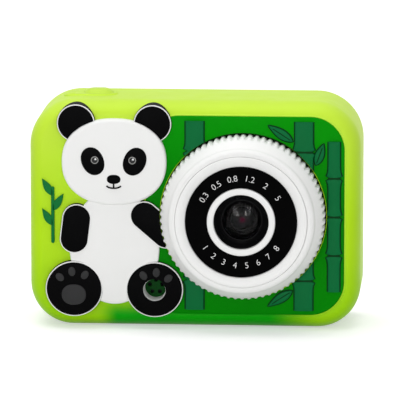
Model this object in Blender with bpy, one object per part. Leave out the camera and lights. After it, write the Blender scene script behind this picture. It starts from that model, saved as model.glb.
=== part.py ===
"""Kids digital camera: a hard two-part body with its lens, screen and keys in a moulded silicone sleeve.

Units are metres and +Z is up. The lens looks along -Y, and +X is to the right of someone facing it.
The camera stands on the flat underside of its sleeve, on z = 0, with the origin under its middle.
"""
import math

import bmesh
import bpy
from mathutils import Vector

# Overall sizes of the silicone sleeve
CASE_WIDTH = 0.0920
CASE_HEIGHT = 0.0635
CASE_DEPTH = 0.0280
CASE_CORNER = 0.0130
CASE_LOW_CORNER = 0.0110
SIDE_WALL = 0.0050
END_WALL = 0.0046
FRONT_WALL = 0.0030
BACK_LIP = 0.0025
LIP_COVER = 0.0025
SHOULDER_INSET = 0.0040
SHOULDER_DEPTH = 0.0070
BACK_ROUND = 0.0030

# Clearances
SEAT_GAP = 0.00015
FIT_GAP = 0.0003
SLIDE_GAP = 0.0003
RING_GAP = 0.0006
PRESS_RESERVE = 0.00015
SAME_POINT = 0.000001

# Lens group, radii about the lens axis and depths along it
LENS_FROM_RIGHT = 0.0323
LENS_RAISE = 0.00045
LENS_PROUD = 0.0120
RING_RADIUS = 0.0228
TOOTH_COUNT = 74
TOOTH_HEIGHT = 0.0008
TOOTH_FLANK = 0.30
TOOTH_LENGTH = 0.0036
TOOTH_BEVEL = 0.0004
RING_SINK = 0.0011
RING_BEND = 0.0008
RING_LAND = 0.0016
RING_SETBACK = 0.0004
BEZEL_RADIUS = 0.0182
BEZEL_THICK = 0.0017
BEZEL_DROP = 0.0009
BARREL_RADIUS = 0.0170
BARREL_WALL = 0.0018
BARREL_WEB = 0.0015
BARREL_FLANGE = 0.0030
FLANGE_THICK = 0.0016
TRIM_OUTER = 0.0153
TRIM_THICK = 0.0010
INNER_RING_OUTER = 0.0094
INNER_RING_BORE = 0.0076
INNER_RING_THICK = 0.0013
HOLDER_RADIUS = 0.0080
HOLDER_LEDGE = 0.0002
HOLDER_STEP_DEPTH = 0.0022
HOLDER_LENGTH = 0.0098
HOLDER_BORE = 0.0034
GLASS_RADIUS = 0.0053
GLASS_THICK = 0.0010
GLASS_CROWN = 0.0012
SENSOR_SIZE = 0.0042
SENSOR_THICK = 0.0012
SENSOR_BOARD_SIZE = 0.0120
SENSOR_BOARD_THICK = 0.0008

# Front panel with its bamboo relief
PANEL_MARGIN = 0.0036
PANEL_LOW_MARGIN = 0.0044
PANEL_SIDE_MARGIN = 0.0044
PANEL_LEFT_FROM_LENS = 0.0270
PANEL_RAISE = 0.0008
CANE_RAISE = 0.0006
CANE_FLARE = 0.0005
CANE_NECK = 0.0006
CANE_SEGMENT = 0.0105
SLIM_CANE_WIDTH = 0.0032
WIDE_CANE_WIDTH = 0.0050
SLIM_CANE_FROM_EDGE = 0.0028
WIDE_CANE_FROM_EDGE = 0.0112
LEFT_CANE_FROM_LENS = 0.0132
CANE_END_MARGIN = 0.0007
LEAF_WIDTH = 0.0024
LEAF_LENGTH = 0.0080
LEAF_FROM_RING = 0.0016
LEAF_ANGLE = math.radians(57)
SIDE_LEAF_LENGTH = 0.0062
SIDE_LEAF_FROM_END = 0.0125
SIDE_LEAF_SLANT = math.radians(70)
SPRIG_RAISE = 0.0005
SPRIG_FROM_LEFT = 0.0068
SPRIG_LEAF_LENGTH = 0.0056
SPRIG_LEAF_WIDTH = 0.0021
SPRIG_STEM_LENGTH = 0.0150
SPRIG_STEM_WIDTH = 0.0009
SPRIG_LEAF_COUNT = 3
SPRIG_FIRST_LEAF = 0.0045
SPRIG_LEAF_PITCH = 0.0042
SPRIG_SLANT = math.radians(32)
LEAF_BULGE = 0.8

# Bear relief, drawn to one scale and stretched to the room that the lens hole leaves
BEAR_FROM_LEFT = 0.0240
BEAR_FROM_LENS_HOLE = 0.0123
HEAD_FROM_BOTTOM = 0.0470
HEAD_HALF_WIDTH = 0.0145
HEAD_HALF_HEIGHT = 0.0120
HEAD_FULLNESS = 2.25
HEAD_RAISE = 0.0028
TORSO_HALF_WIDTH = 0.0125
TORSO_HALF_HEIGHT = 0.0160
TORSO_RAISE = 0.0016
EAR_RADIUS = 0.0053
EAR_SPREAD = 0.0106
EAR_RISE = 0.0107
EAR_FROM_TOP = 0.0005
EAR_RAISE = 0.0021
ARM_RADIUS = 0.0041
ARM_LENGTH = 0.0057
ARM_RAISE = 0.0023
FOOT_HALF_WIDTH = 0.0080
FOOT_HALF_HEIGHT = 0.0078
FOOT_FROM_BOTTOM = 0.0113
FOOT_SPREAD = 0.0112
FOOT_RAISE = 0.0026
PATCH_HALF_WIDTH = 0.0031
PATCH_HALF_HEIGHT = 0.0040
PATCH_SPREAD = 0.0058
PATCH_RISE = 0.0004
PATCH_TILT = math.radians(24)
NOSE_HALF_WIDTH = 0.0019
NOSE_HALF_HEIGHT = 0.0013
NOSE_DROP = 0.0046
FEATURE_RAISE = 0.0005
RELIEF_ROUND = 0.0007

# Sound port through the foot
PORT_RADIUS = 0.00315
SOUND_HOLE_RADIUS = 0.0006
SOUND_HOLE_RING = 0.0018
SOUND_HOLE_COUNT = 5

# Hard body inside the sleeve
SHELL_WALL = 0.0018
SHELL_CHAMFER = 0.0015
BOSS_RADIUS = 0.0030
BOSS_INSET = 0.0062
SCREW_RADIUS = 0.0010
SCREW_LENGTH = 0.0070
SCREW_POINT = 0.0015
SCREW_SEAT = 0.0025
SCREW_HEAD_RADIUS = 0.0019
SCREW_HEAD_THICK = 0.0012
LENS_OPENING = 0.0140

# Screen and board
SCREEN_FROM_KEYS = 0.0016
SCREEN_FROM_SIDE = 0.0055
SCREEN_FROM_SCREWS = 0.0008
SCREEN_CORNER = 0.0030
SCREEN_THICK = 0.0011
SCREEN_FRAME = 0.0035
LCD_INSET = 0.00175
LCD_THICK = 0.0028
BOARD_MARGIN = 0.0030
BOARD_THICK = 0.0012
BATTERY_WIDTH = 0.0260
BATTERY_ABOVE_SPEAKER = 0.0022
BATTERY_THICK = 0.0052
BATTERY_FROM_LEFT = 0.0110
BATTERY_FROM_TOP = 0.0060
SPEAKER_RADIUS = 0.0070
SPEAKER_RIM = 0.0014
SPEAKER_DEPTH = 0.0034
MAGNET_RADIUS = 0.0044
MICROPHONE_RADIUS = 0.0020
MICROPHONE_THICK = 0.0014
MICROPHONE_FROM_RIGHT = 0.0100

# Keys
KEY_TRAVEL = 0.0007
KEY_RADIUS = 0.0030
OK_RADIUS = 0.0036
POWER_RADIUS = 0.0026
KEY_FLANGE = 0.0007
KEY_FLANGE_THICK = 0.0010
KEY_PROUD = 0.0013
KEY_EDGE = 0.0005
PAD_FROM_LEFT = 0.0155
PAD_DROP = 0.0035
PAD_RADIUS = 0.0084
POWER_ABOVE_PAD = 0.0175
SWITCH_SIZE = 0.0040
SWITCH_PLUNGER = 0.0010
SWITCH_PLUNGER_RISE = 0.0004
SHUTTER_TRAVEL = 0.0008
SHUTTER_FROM_LEFT = 0.0184
SHUTTER_LENGTH = 0.0080
SHUTTER_WIDTH = 0.0062
SHUTTER_PROUD = 0.0015
SHUTTER_FLANGE_THICK = 0.0012
SHUTTER_BRIDGE = 0.00075
SHUTTER_SWITCH_HEIGHT = 0.0040

# Sockets in the underside
USB_WIDTH = 0.0090
USB_THICK = 0.0032
USB_LENGTH = 0.0072
USB_FROM_MIDDLE = 0.0090
USB_WALL = 0.0004
USB_SLOT_DEPTH = 0.0052
CARD_WIDTH = 0.0130
CARD_THICK = 0.0020
CARD_LENGTH = 0.0148
CARD_FROM_MIDDLE = -0.0070
CARD_SLOT_WIDTH = 0.0112
CARD_SLOT_THICK = 0.0009
CARD_SLOT_DEPTH = 0.0120
SOCKET_RECESS = 0.0003
BAY_MARGIN = 0.0030

# Facet counts
CORNER_STEPS = 6
SHOULDER_STEPS = 5
BACK_STEPS = 3
ROUND_STEPS = 40
SMALL_STEPS = 14
TINY_STEPS = 10
LEAF_STEPS = 6
DOME_STEPS = 5
OUTLINE_STEPS = 28

# Places worked out from the sizes above
FRONT = -(CASE_DEPTH + LENS_PROUD) / 2
CASE_FRONT = FRONT + LENS_PROUD
CASE_BACK = CASE_FRONT + CASE_DEPTH
LEFT = -CASE_WIDTH / 2
RIGHT = CASE_WIDTH / 2
LENS_X = RIGHT - LENS_FROM_RIGHT
LENS_Z = CASE_HEIGHT / 2 + LENS_RAISE
RING_HOLE = RING_RADIUS + RING_GAP
BODY_WIDTH = CASE_WIDTH - 2 * SIDE_WALL
BODY_HEIGHT = CASE_HEIGHT - 2 * END_WALL
BODY_CORNER = CASE_CORNER - END_WALL
BODY_FRONT = CASE_FRONT + FRONT_WALL + SEAT_GAP
BODY_BACK = CASE_BACK - BACK_LIP - SEAT_GAP
BODY_TOP = CASE_HEIGHT - END_WALL
BODY_BOTTOM = END_WALL
BODY_LEFT = -BODY_WIDTH / 2
BODY_RIGHT = BODY_WIDTH / 2
LCD_BACK = BODY_BACK - SHELL_WALL - FIT_GAP
BOARD_BACK = LCD_BACK - LCD_THICK - FIT_GAP
BOARD_FRONT = BOARD_BACK - BOARD_THICK
PANEL_FRONT = CASE_FRONT - PANEL_RAISE
RELIEF_ROOM = BEAR_FROM_LEFT + BEAR_FROM_LENS_HOLE
RELIEF_HEIGHT = HEAD_FROM_BOTTOM + EAR_RISE + EAR_RADIUS + EAR_FROM_TOP
RELIEF_STRETCH = (LENS_X - RING_HOLE - LEFT) / RELIEF_ROOM
RELIEF_RISE = CASE_HEIGHT / RELIEF_HEIGHT
RELIEF_ROOT = CASE_FRONT + SHOULDER_DEPTH
PAD_X = BODY_LEFT + PAD_FROM_LEFT
SCREEN_LEFT = PAD_X + PAD_RADIUS + KEY_RADIUS + SCREEN_FROM_KEYS
SCREEN_WIDTH = BODY_RIGHT - SCREEN_FROM_SIDE - SCREEN_LEFT
SCREEN_HEIGHT = BODY_HEIGHT - 2 * (BOSS_INSET + SCREW_HEAD_RADIUS + SCREEN_FROM_SCREWS)
SCREEN_X = SCREEN_LEFT + SCREEN_WIDTH / 2
SCREEN_Z = CASE_HEIGHT / 2
PAD_Z = CASE_HEIGHT / 2 - PAD_DROP
SHUTTER_X = LEFT + SHUTTER_FROM_LEFT
SHUTTER_Y = BOARD_FRONT - SEAT_GAP - SHUTTER_WIDTH / 2
PARTING = SHUTTER_Y - SHUTTER_WIDTH / 2 - KEY_FLANGE - SHUTTER_BRIDGE
SCREW_FLOOR = PARTING + SEAT_GAP + SCREW_SEAT
SCREW_TIP = SCREW_FLOOR + SEAT_GAP - SCREW_LENGTH
PORT_X = LEFT + (BEAR_FROM_LEFT + FOOT_SPREAD) * RELIEF_STRETCH
PORT_Z = FOOT_FROM_BOTTOM * RELIEF_RISE
SOCKET_BOTTOM = BODY_BOTTOM + SOCKET_RECESS
USB_Y = BOARD_FRONT - SEAT_GAP - USB_THICK / 2
CARD_Y = BOARD_FRONT - SEAT_GAP - CARD_THICK / 2

LIME = (0.38, 0.71, 0.012)
LEAF_GREEN = (0.0, 0.20, 0.006)
CANE_GREEN = (0.0, 0.14, 0.03)
WHITE = (0.84, 0.84, 0.82)
BLACK = (0.006, 0.006, 0.006)
BODY_GREEN = (0.0, 0.05, 0.004)
GLASS = (0.02, 0.02, 0.03)
BOARD_GREEN = (0.01, 0.09, 0.03)
STEEL = (0.55, 0.56, 0.57)
FOIL = (0.50, 0.52, 0.53)
GREY = (0.16, 0.17, 0.17)


def clear_scene():
    """Remove everything that the file opened with."""
    for obj in list(bpy.data.objects):
        bpy.data.objects.remove(obj, do_unlink=True)


def material(name, colour, roughness, metallic=0.0):
    """Return the named Principled material, made on first use."""
    found = bpy.data.materials.get(name)
    if found:
        return found
    made = bpy.data.materials.new(name)
    made.use_nodes = True
    shader = made.node_tree.nodes["Principled BSDF"]
    shader.inputs["Base Color"].default_value = (*colour, 1.0)
    shader.inputs["Roughness"].default_value = roughness
    shader.inputs["Metallic"].default_value = metallic
    made.diffuse_color = (*colour, 1.0)
    return made


def add_body(name, bm, finish=None, place=(0.0, 0.0, 0.0), smooth_angle=math.radians(32)):
    """Make a named object of a bmesh, with its faces out and its round sides smooth."""
    bmesh.ops.recalc_face_normals(bm, faces=bm.faces)
    mesh = bpy.data.meshes.new(name)
    bm.to_mesh(mesh)
    bm.free()
    mesh.shade_smooth()
    mesh.set_sharp_from_angle(angle=smooth_angle)
    obj = bpy.data.objects.new(name, mesh)
    obj.location = place
    if finish:
        mesh.materials.append(finish)
    bpy.context.collection.objects.link(obj)
    return obj


def as_cutter(obj):
    """Mark an object as a tool that shapes others and is no piece of the camera."""
    obj.hide_render = True
    obj.display_type = 'WIRE'
    return obj


def shape_with(target, tools, operation):
    """Add one exact Boolean for each tool."""
    for tool in tools:
        modifier = target.modifiers.new(tool.name, 'BOOLEAN')
        modifier.operation = operation
        modifier.solver = 'EXACT'
        modifier.object = tool
    return target


def cut(target, *tools):
    """Take the tools' shapes away from the target."""
    return shape_with(target, tools, 'DIFFERENCE')


def fuse(target, *tools):
    """Join the tools' shapes to the target."""
    return shape_with(target, tools, 'UNION')


def facing_front(level, across, up):
    """Put an outline in a plane that faces the lens side."""
    return (across, level, up)


def facing_up(level, across, deep):
    """Put an outline in a level plane."""
    return (across, deep, level)


def loft(name, sections, finish=None, place=(0.0, 0.0, 0.0), plane=facing_front):
    """Close a body through outlines of equal count, each given with its level."""
    bm = bmesh.new()
    rings = []
    for level, outline in sections:
        rings.append([bm.verts.new(plane(level, a, b)) for a, b in outline])
    for first, second in zip(rings, rings[1:]):
        for i in range(len(first)):
            j = (i + 1) % len(first)
            bm.faces.new((first[i], first[j], second[j], second[i]))
    bm.faces.new(rings[0])
    bm.faces.new(rings[-1])
    return add_body(name, bm, finish, place)


def turned(name, profile, finish=None, place=(0.0, 0.0, 0.0), steps=ROUND_STEPS, closed=False):
    """Turn a profile of (radius, depth) points about the Y axis.

    A closed profile makes a ring; an open one gets flat ends.
    """
    bm = bmesh.new()
    rings = []
    for radius, depth in profile:
        ring = []
        for i in range(steps):
            angle = 2 * math.pi * i / steps
            ring.append(bm.verts.new((radius * math.cos(angle), depth, radius * math.sin(angle))))
        rings.append(ring)
    pairs = list(zip(rings, rings[1:]))
    if closed:
        pairs.append((rings[-1], rings[0]))
    else:
        bm.faces.new(rings[0])
        bm.faces.new(rings[-1])
    for first, second in pairs:
        for i in range(steps):
            j = (i + 1) % steps
            bm.faces.new((first[i], first[j], second[j], second[i]))
    return add_body(name, bm, finish, place)


def bore(name, radius, front, back, place, steps=ROUND_STEPS):
    """A round cutter along Y between two depths."""
    return as_cutter(turned(name, [(radius, front), (radius, back)], place=place, steps=steps))


def rounded_rect(width, height, radius, centre=(0.0, 0.0), steps=CORNER_STEPS, low_radius=None):
    """Outline of a rectangle with round corners, which meet in a half circle where there is no straight.

    Its lower corners may have a radius of their own.
    """
    points = []
    corners = ((1, 1, 0), (-1, 1, 90), (-1, -1, 180), (1, -1, 270))
    for side, end, start in corners:
        own = radius if end > 0 or low_radius is None else low_radius
        own = min(own, width / 2, height / 2)
        x = centre[0] + side * (width / 2 - own)
        z = centre[1] + end * (height / 2 - own)
        for i in range(steps + 1):
            angle = math.radians(start + 90 * i / steps)
            points.append((x + own * math.cos(angle), z + own * math.sin(angle)))
    return [point for i, point in enumerate(points) if math.dist(point, points[i - 1]) > SAME_POINT]


def oval(centre, half_width, half_height, tilt=0.0, fullness=2.0, steps=OUTLINE_STEPS):
    """Outline of an ellipse, squarer where fullness is over 2."""
    points = []
    for i in range(steps):
        angle = 2 * math.pi * i / steps
        c, s = math.cos(angle), math.sin(angle)
        x = half_width * math.copysign(abs(c) ** (2 / fullness), c)
        z = half_height * math.copysign(abs(s) ** (2 / fullness), s)
        points.append((centre[0] + x * math.cos(tilt) - z * math.sin(tilt),
                       centre[1] + x * math.sin(tilt) + z * math.cos(tilt)))
    return points


def limb(start, end, radius, steps=OUTLINE_STEPS // 2):
    """Outline of a bar with round ends."""
    heading = math.atan2(end[1] - start[1], end[0] - start[0])
    points = []
    for centre, turn in ((end, -math.pi / 2), (start, math.pi / 2)):
        for i in range(steps + 1):
            angle = heading + turn + math.pi * i / steps
            points.append((centre[0] + radius * math.cos(angle), centre[1] + radius * math.sin(angle)))
    return points


def leaf(root, heading, length, width, steps=LEAF_STEPS):
    """Outline of a pointed leaf that grows from its root."""
    along = Vector((math.cos(heading), math.sin(heading)))
    aside = Vector((-along.y, along.x))
    right, left = [], []
    for i in range(1, steps):
        share = i / steps
        reach = width / 2 * math.sin(math.pi * share ** LEAF_BULGE)
        spine = Vector(root) + along * length * share
        right.append(spine - aside * reach)
        left.append(spine + aside * reach)
    tip = Vector(root) + along * length
    points = [Vector(root)] + right + [tip] + left[::-1]
    return [(p.x, p.y) for p in points]


def grow(outline, distance):
    """Move each point of an outline outwards along its corner's bisector."""
    count = len(outline)
    area = sum(outline[i - 1][0] * outline[i][1] - outline[i][0] * outline[i - 1][1] for i in range(count))
    side = 1 if area > 0 else -1
    grown = []
    for i in range(count):
        before = Vector(outline[i]) - Vector(outline[i - 1])
        after = Vector(outline[(i + 1) % count]) - Vector(outline[i])
        normal = Vector((before.y, -before.x)).normalized() + Vector((after.y, -after.x)).normalized()
        normal.normalize()
        grown.append((outline[i][0] + side * distance * normal.x, outline[i][1] + side * distance * normal.y))
    return grown


def rounded_plate(name, outline, front, back, edge, finish, steps=2):
    """A plate whose front rim is rounded over by the edge size, or bevelled where there is one step."""
    sections = []
    for i in range(steps + 1):
        angle = math.pi / 2 * i / steps
        sections.append((front + edge * (1 - math.cos(angle)), grow(outline, -edge * (1 - math.sin(angle)))))
    sections.append((back, outline))
    return loft(name, sections, finish)


def case_outline(inset):
    """The sleeve's outline seen from the front, drawn in by an inset."""
    return rounded_rect(CASE_WIDTH - 2 * inset, CASE_HEIGHT - 2 * inset, CASE_CORNER - inset,
                        (0.0, CASE_HEIGHT / 2), low_radius=CASE_LOW_CORNER - inset)


def case_form(name, extra, finish=None):
    """The sleeve's outer form, with its round front shoulder and back edge, grown by an extra."""
    sections = []
    for i in range(SHOULDER_STEPS + 1):
        angle = math.pi / 2 * i / SHOULDER_STEPS
        inset = SHOULDER_INSET * (1 - math.sin(angle)) - extra
        sections.append((CASE_FRONT - extra + SHOULDER_DEPTH * (1 - math.cos(angle)), case_outline(inset)))
    for i in range(BACK_STEPS + 1):
        angle = math.pi / 2 * i / BACK_STEPS
        inset = BACK_ROUND * (1 - math.cos(angle)) - extra
        sections.append((CASE_BACK + extra - BACK_ROUND * (1 - math.sin(angle)), case_outline(inset)))
    return loft(name, sections, finish)


def body_outline(extra):
    """The hard body's outline seen from the front, grown by an extra."""
    return rounded_rect(BODY_WIDTH + 2 * extra, BODY_HEIGHT + 2 * extra, BODY_CORNER + extra,
                        (0.0, CASE_HEIGHT / 2))


def shutter_outline(extra):
    """The shutter button's outline seen from above, grown by an extra."""
    return rounded_rect(SHUTTER_LENGTH + 2 * extra, SHUTTER_WIDTH + 2 * extra, SHUTTER_WIDTH / 2 + extra,
                        (SHUTTER_X, SHUTTER_Y))


def bay_outline():
    """The opening in the sleeve's underside that both sockets share."""
    left = CARD_FROM_MIDDLE - CARD_WIDTH / 2 - BAY_MARGIN
    right = USB_FROM_MIDDLE + USB_WIDTH / 2 + BAY_MARGIN
    depth = USB_THICK + 2 * BAY_MARGIN - SLIDE_GAP
    return rounded_rect(right - left, depth, depth / 2, ((left + right) / 2, USB_Y))


def make_case(ring_hole, port):
    """The silicone sleeve: one moulding with a pocket for the body and openings for what is used."""
    case = case_form("silicone_case", 0.0, material("lime_silicone", LIME, 0.45))
    pocket = as_cutter(loft("case_pocket", [(BODY_FRONT - SEAT_GAP, body_outline(SEAT_GAP)),
                                            (BODY_BACK + SEAT_GAP, body_outline(SEAT_GAP))]))
    window = as_cutter(loft("case_window", [(BODY_BACK - FIT_GAP, body_outline(-LIP_COVER)),
                                            (CASE_BACK + FIT_GAP, body_outline(-LIP_COVER))]))
    shutter_hole = as_cutter(loft("case_shutter_hole", [(BODY_TOP - FIT_GAP, shutter_outline(SLIDE_GAP)),
                                                        (CASE_HEIGHT + END_WALL, shutter_outline(SLIDE_GAP))],
                                  plane=facing_up))
    bay = as_cutter(loft("case_bay", [(-END_WALL, bay_outline()), (BODY_BOTTOM + FIT_GAP, bay_outline())],
                         plane=facing_up))
    return cut(case, pocket, window, ring_hole, port, shutter_hole, bay)


def panel_outline(inset):
    """The front panel's outline, drawn in by an inset."""
    left = LENS_X - PANEL_LEFT_FROM_LENS + inset
    right = RIGHT - PANEL_SIDE_MARGIN - inset
    low = PANEL_LOW_MARGIN + inset
    high = CASE_HEIGHT - PANEL_MARGIN - inset
    return rounded_rect(right - left, high - low, CASE_CORNER - PANEL_MARGIN - inset,
                        ((left + right) / 2, (low + high) / 2))


def cane_outline(x, low, high, width):
    """Outline of an upright bamboo cane, flared beside its knots."""
    count = max(1, round((high - low) / CANE_SEGMENT))
    step = (high - low) / count
    side = []
    for i in range(count):
        start = low + i * step
        if i:
            side.append((width / 2 - CANE_FLARE, start))
        side.append((width / 2 + CANE_FLARE * bool(i), start + CANE_NECK))
        side.append((width / 2, start + CANE_NECK + CANE_FLARE * 2))
        side.append((width / 2, start + step - CANE_NECK - CANE_FLARE * 2))
        side.append((width / 2 + CANE_FLARE * (i < count - 1), start + step - CANE_NECK))
    return [(x + reach, z) for reach, z in side] + [(x - reach, z) for reach, z in side[::-1]]


def make_panel(ring_hole, rooms):
    """The raised green panel round the lens, with bamboo canes and leaves on it."""
    green = material("panel_green", LEAF_GREEN, 0.5)
    teal = material("cane_green", CANE_GREEN, 0.5)
    pieces = []
    panel = rounded_plate("lens_panel", panel_outline(0.0), PANEL_FRONT, CASE_FRONT - SEAT_GAP,
                          PANEL_RAISE / 2, green)
    pieces.append(cut(panel, ring_hole))

    low = PANEL_LOW_MARGIN + CANE_END_MARGIN
    high = CASE_HEIGHT - PANEL_MARGIN - CANE_END_MARGIN
    slim_x = RIGHT - PANEL_SIDE_MARGIN - SLIM_CANE_FROM_EDGE
    wide_x = RIGHT - PANEL_SIDE_MARGIN - WIDE_CANE_FROM_EDGE
    left_x = LENS_X - LEFT_CANE_FROM_LENS
    corner = CASE_CORNER - PANEL_MARGIN
    drop = corner - math.sqrt(corner ** 2 - (corner - SLIM_CANE_FROM_EDGE + SLIM_CANE_WIDTH / 2) ** 2)
    canes = (("cane_slim", slim_x, low + drop, high - drop, SLIM_CANE_WIDTH),
             ("cane_wide_top", wide_x, LENS_Z, high, WIDE_CANE_WIDTH),
             ("cane_wide_bottom", wide_x, low, LENS_Z, WIDE_CANE_WIDTH),
             ("cane_left_top", left_x, LENS_Z, high, WIDE_CANE_WIDTH),
             ("cane_left_bottom", left_x, low, LENS_Z, WIDE_CANE_WIDTH))
    back = PANEL_FRONT - SEAT_GAP
    for name, x, bottom, top, width in canes:
        cane = rounded_plate(name, cane_outline(x, bottom, top, width), back - CANE_RAISE, back,
                             CANE_RAISE / 2, teal, steps=1)
        beside_bear = rooms.values() if x == left_x else ()
        pieces.append(cut(cane, ring_hole, *beside_bear))

    beside = WIDE_CANE_WIDTH / 2 + CANE_FLARE + FIT_GAP
    reach = RING_HOLE + LEAF_FROM_RING
    leaf_x = LENS_X + reach * math.cos(LEAF_ANGLE)
    leaf_rise = reach * math.sin(LEAF_ANGLE)
    leaves = (("leaf_top", (leaf_x, LENS_Z + leaf_rise), LEAF_ANGLE + math.pi / 2, LEAF_LENGTH),
              ("leaf_bottom", (leaf_x, LENS_Z - leaf_rise), -LEAF_ANGLE - math.pi / 2, LEAF_LENGTH),
              ("leaf_side", (wide_x + beside, high - SIDE_LEAF_FROM_END), SIDE_LEAF_SLANT, SIDE_LEAF_LENGTH))
    for name, root, heading, length in leaves:
        outline = leaf(root, heading, length, LEAF_WIDTH)
        blade = rounded_plate(name, outline, back - CANE_RAISE, back, CANE_RAISE / 3, teal, steps=1)
        pieces.append(cut(blade, ring_hole))
    return pieces


def fitted(outline):
    """Stretch an outline of the relief's drawing to the room it has on the sleeve."""
    return [(LEFT + x * RELIEF_STRETCH, z * RELIEF_RISE) for x, z in outline]


def make_sprig():
    """A leaf sprig on the lime face beside the bear."""
    x = SPRIG_FROM_LEFT
    low = RELIEF_HEIGHT / 2 - SPRIG_STEM_LENGTH / 2
    back = CASE_FRONT - SEAT_GAP
    front = back - SPRIG_RAISE
    finish = material("leaf_green", LEAF_GREEN, 0.5)
    stem_outline = fitted(limb((x, low), (x, low + SPRIG_STEM_LENGTH), SPRIG_STEM_WIDTH / 2, 3))
    stem = loft("leaf_sprig", [(front, stem_outline), (back, stem_outline)], finish)
    blades = []
    for i in range(SPRIG_LEAF_COUNT):
        root = (x, low + SPRIG_FIRST_LEAF + SPRIG_LEAF_PITCH * i)
        heading = math.pi / 2 + SPRIG_SLANT * (-1) ** i
        outline = fitted(leaf(root, heading, SPRIG_LEAF_LENGTH, SPRIG_LEAF_WIDTH))
        blades.append(as_cutter(loft(f"sprig_blade_{i}", [(front, outline), (back, outline)])))
    return fuse(stem, *blades)


def bear_outlines():
    """Outlines of the bear's flat masses, as one sees them from the front."""
    x = BEAR_FROM_LEFT
    torso_z = HEAD_FROM_BOTTOM - HEAD_HALF_HEIGHT - TORSO_HALF_HEIGHT + TORSO_HALF_HEIGHT / 4
    shoulder_z = torso_z + TORSO_HALF_HEIGHT / 2
    side_x = x - TORSO_HALF_WIDTH
    outlines = {
        "bear_head": oval((x, HEAD_FROM_BOTTOM), HEAD_HALF_WIDTH, HEAD_HALF_HEIGHT, fullness=HEAD_FULLNESS),
        "bear_torso": oval((x, torso_z), TORSO_HALF_WIDTH, TORSO_HALF_HEIGHT),
        "bear_arm_left": limb((side_x + ARM_RADIUS / 2, shoulder_z),
                              (side_x + ARM_RADIUS / 3, shoulder_z - ARM_LENGTH), ARM_RADIUS),
        "bear_arm_right": limb((x + TORSO_HALF_WIDTH - ARM_RADIUS, shoulder_z + ARM_RADIUS / 4),
                               (RELIEF_ROOM + ARM_RADIUS / 2, shoulder_z - ARM_RADIUS), ARM_RADIUS),
    }
    for name, side in (("left", -1), ("right", 1)):
        outlines[f"bear_ear_{name}"] = oval((x + side * EAR_SPREAD, HEAD_FROM_BOTTOM + EAR_RISE),
                                            EAR_RADIUS, EAR_RADIUS)
        outlines[f"bear_foot_{name}"] = oval((x + side * FOOT_SPREAD, FOOT_FROM_BOTTOM),
                                             FOOT_HALF_WIDTH, FOOT_HALF_HEIGHT)
    return {name: fitted(outline) for name, outline in outlines.items()}


def relief_rooms():
    """The room that each raised mass of the bear takes from what lies behind it."""
    outlines = bear_outlines()
    rooms = {}
    for name in ("bear_head", "bear_arm_left", "bear_arm_right", "bear_foot_left", "bear_foot_right"):
        room = grow(outlines[name], SEAT_GAP)
        rooms[name] = as_cutter(loft(f"{name}_room", [(FRONT, room), (RELIEF_ROOT + FIT_GAP, room)]))
    return rooms


def make_bear(ring_hole, port, rooms):
    """A seated bear in flat relief: white masses with dark ears, arms, feet and eye patches."""
    white = material("white_silicone", WHITE, 0.5)
    black = material("black_silicone", BLACK, 0.5)
    outlines = bear_outlines()
    raises = {"bear_head": HEAD_RAISE, "bear_torso": TORSO_RAISE,
              "bear_ear_left": EAR_RAISE, "bear_ear_right": EAR_RAISE,
              "bear_arm_left": ARM_RAISE, "bear_arm_right": ARM_RAISE,
              "bear_foot_left": FOOT_RAISE, "bear_foot_right": FOOT_RAISE}
    in_front = {"bear_ear_left": ["bear_head"], "bear_ear_right": ["bear_head"],
                "bear_arm_left": ["bear_head"], "bear_arm_right": ["bear_head"],
                "bear_torso": list(rooms)}
    seat = as_cutter(case_form("relief_seat", SEAT_GAP))
    panel_seat = as_cutter(loft("panel_seat", [(PANEL_FRONT - SEAT_GAP, panel_outline(-SEAT_GAP)),
                                               (RELIEF_ROOT, panel_outline(-SEAT_GAP))]))
    pieces = []
    for name, outline in outlines.items():
        finish = white if name in ("bear_head", "bear_torso") else black
        piece = rounded_plate(name, outline, CASE_FRONT - raises[name], RELIEF_ROOT, RELIEF_ROUND, finish)
        cut(piece, seat, panel_seat, ring_hole, *[rooms[front] for front in in_front.get(name, [])])
        pieces.append(piece)
        if name == "bear_foot_right":
            cut(piece, port)

    face_back = CASE_FRONT - HEAD_RAISE - SEAT_GAP
    for name, side in (("left", -1), ("right", 1)):
        outline = oval((BEAR_FROM_LEFT + side * PATCH_SPREAD, HEAD_FROM_BOTTOM + PATCH_RISE),
                       PATCH_HALF_WIDTH, PATCH_HALF_HEIGHT, tilt=side * -PATCH_TILT, steps=SMALL_STEPS)
        pieces.append(rounded_plate(f"bear_eye_patch_{name}", fitted(outline), face_back - FEATURE_RAISE,
                                    face_back, FEATURE_RAISE / 2, black, steps=1))
    outline = oval((BEAR_FROM_LEFT, HEAD_FROM_BOTTOM - NOSE_DROP), NOSE_HALF_WIDTH, NOSE_HALF_HEIGHT,
                   steps=SMALL_STEPS)
    pieces.append(rounded_plate("bear_nose", fitted(outline), face_back - FEATURE_RAISE, face_back,
                                FEATURE_RAISE / 2, black, steps=1))
    return pieces


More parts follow.
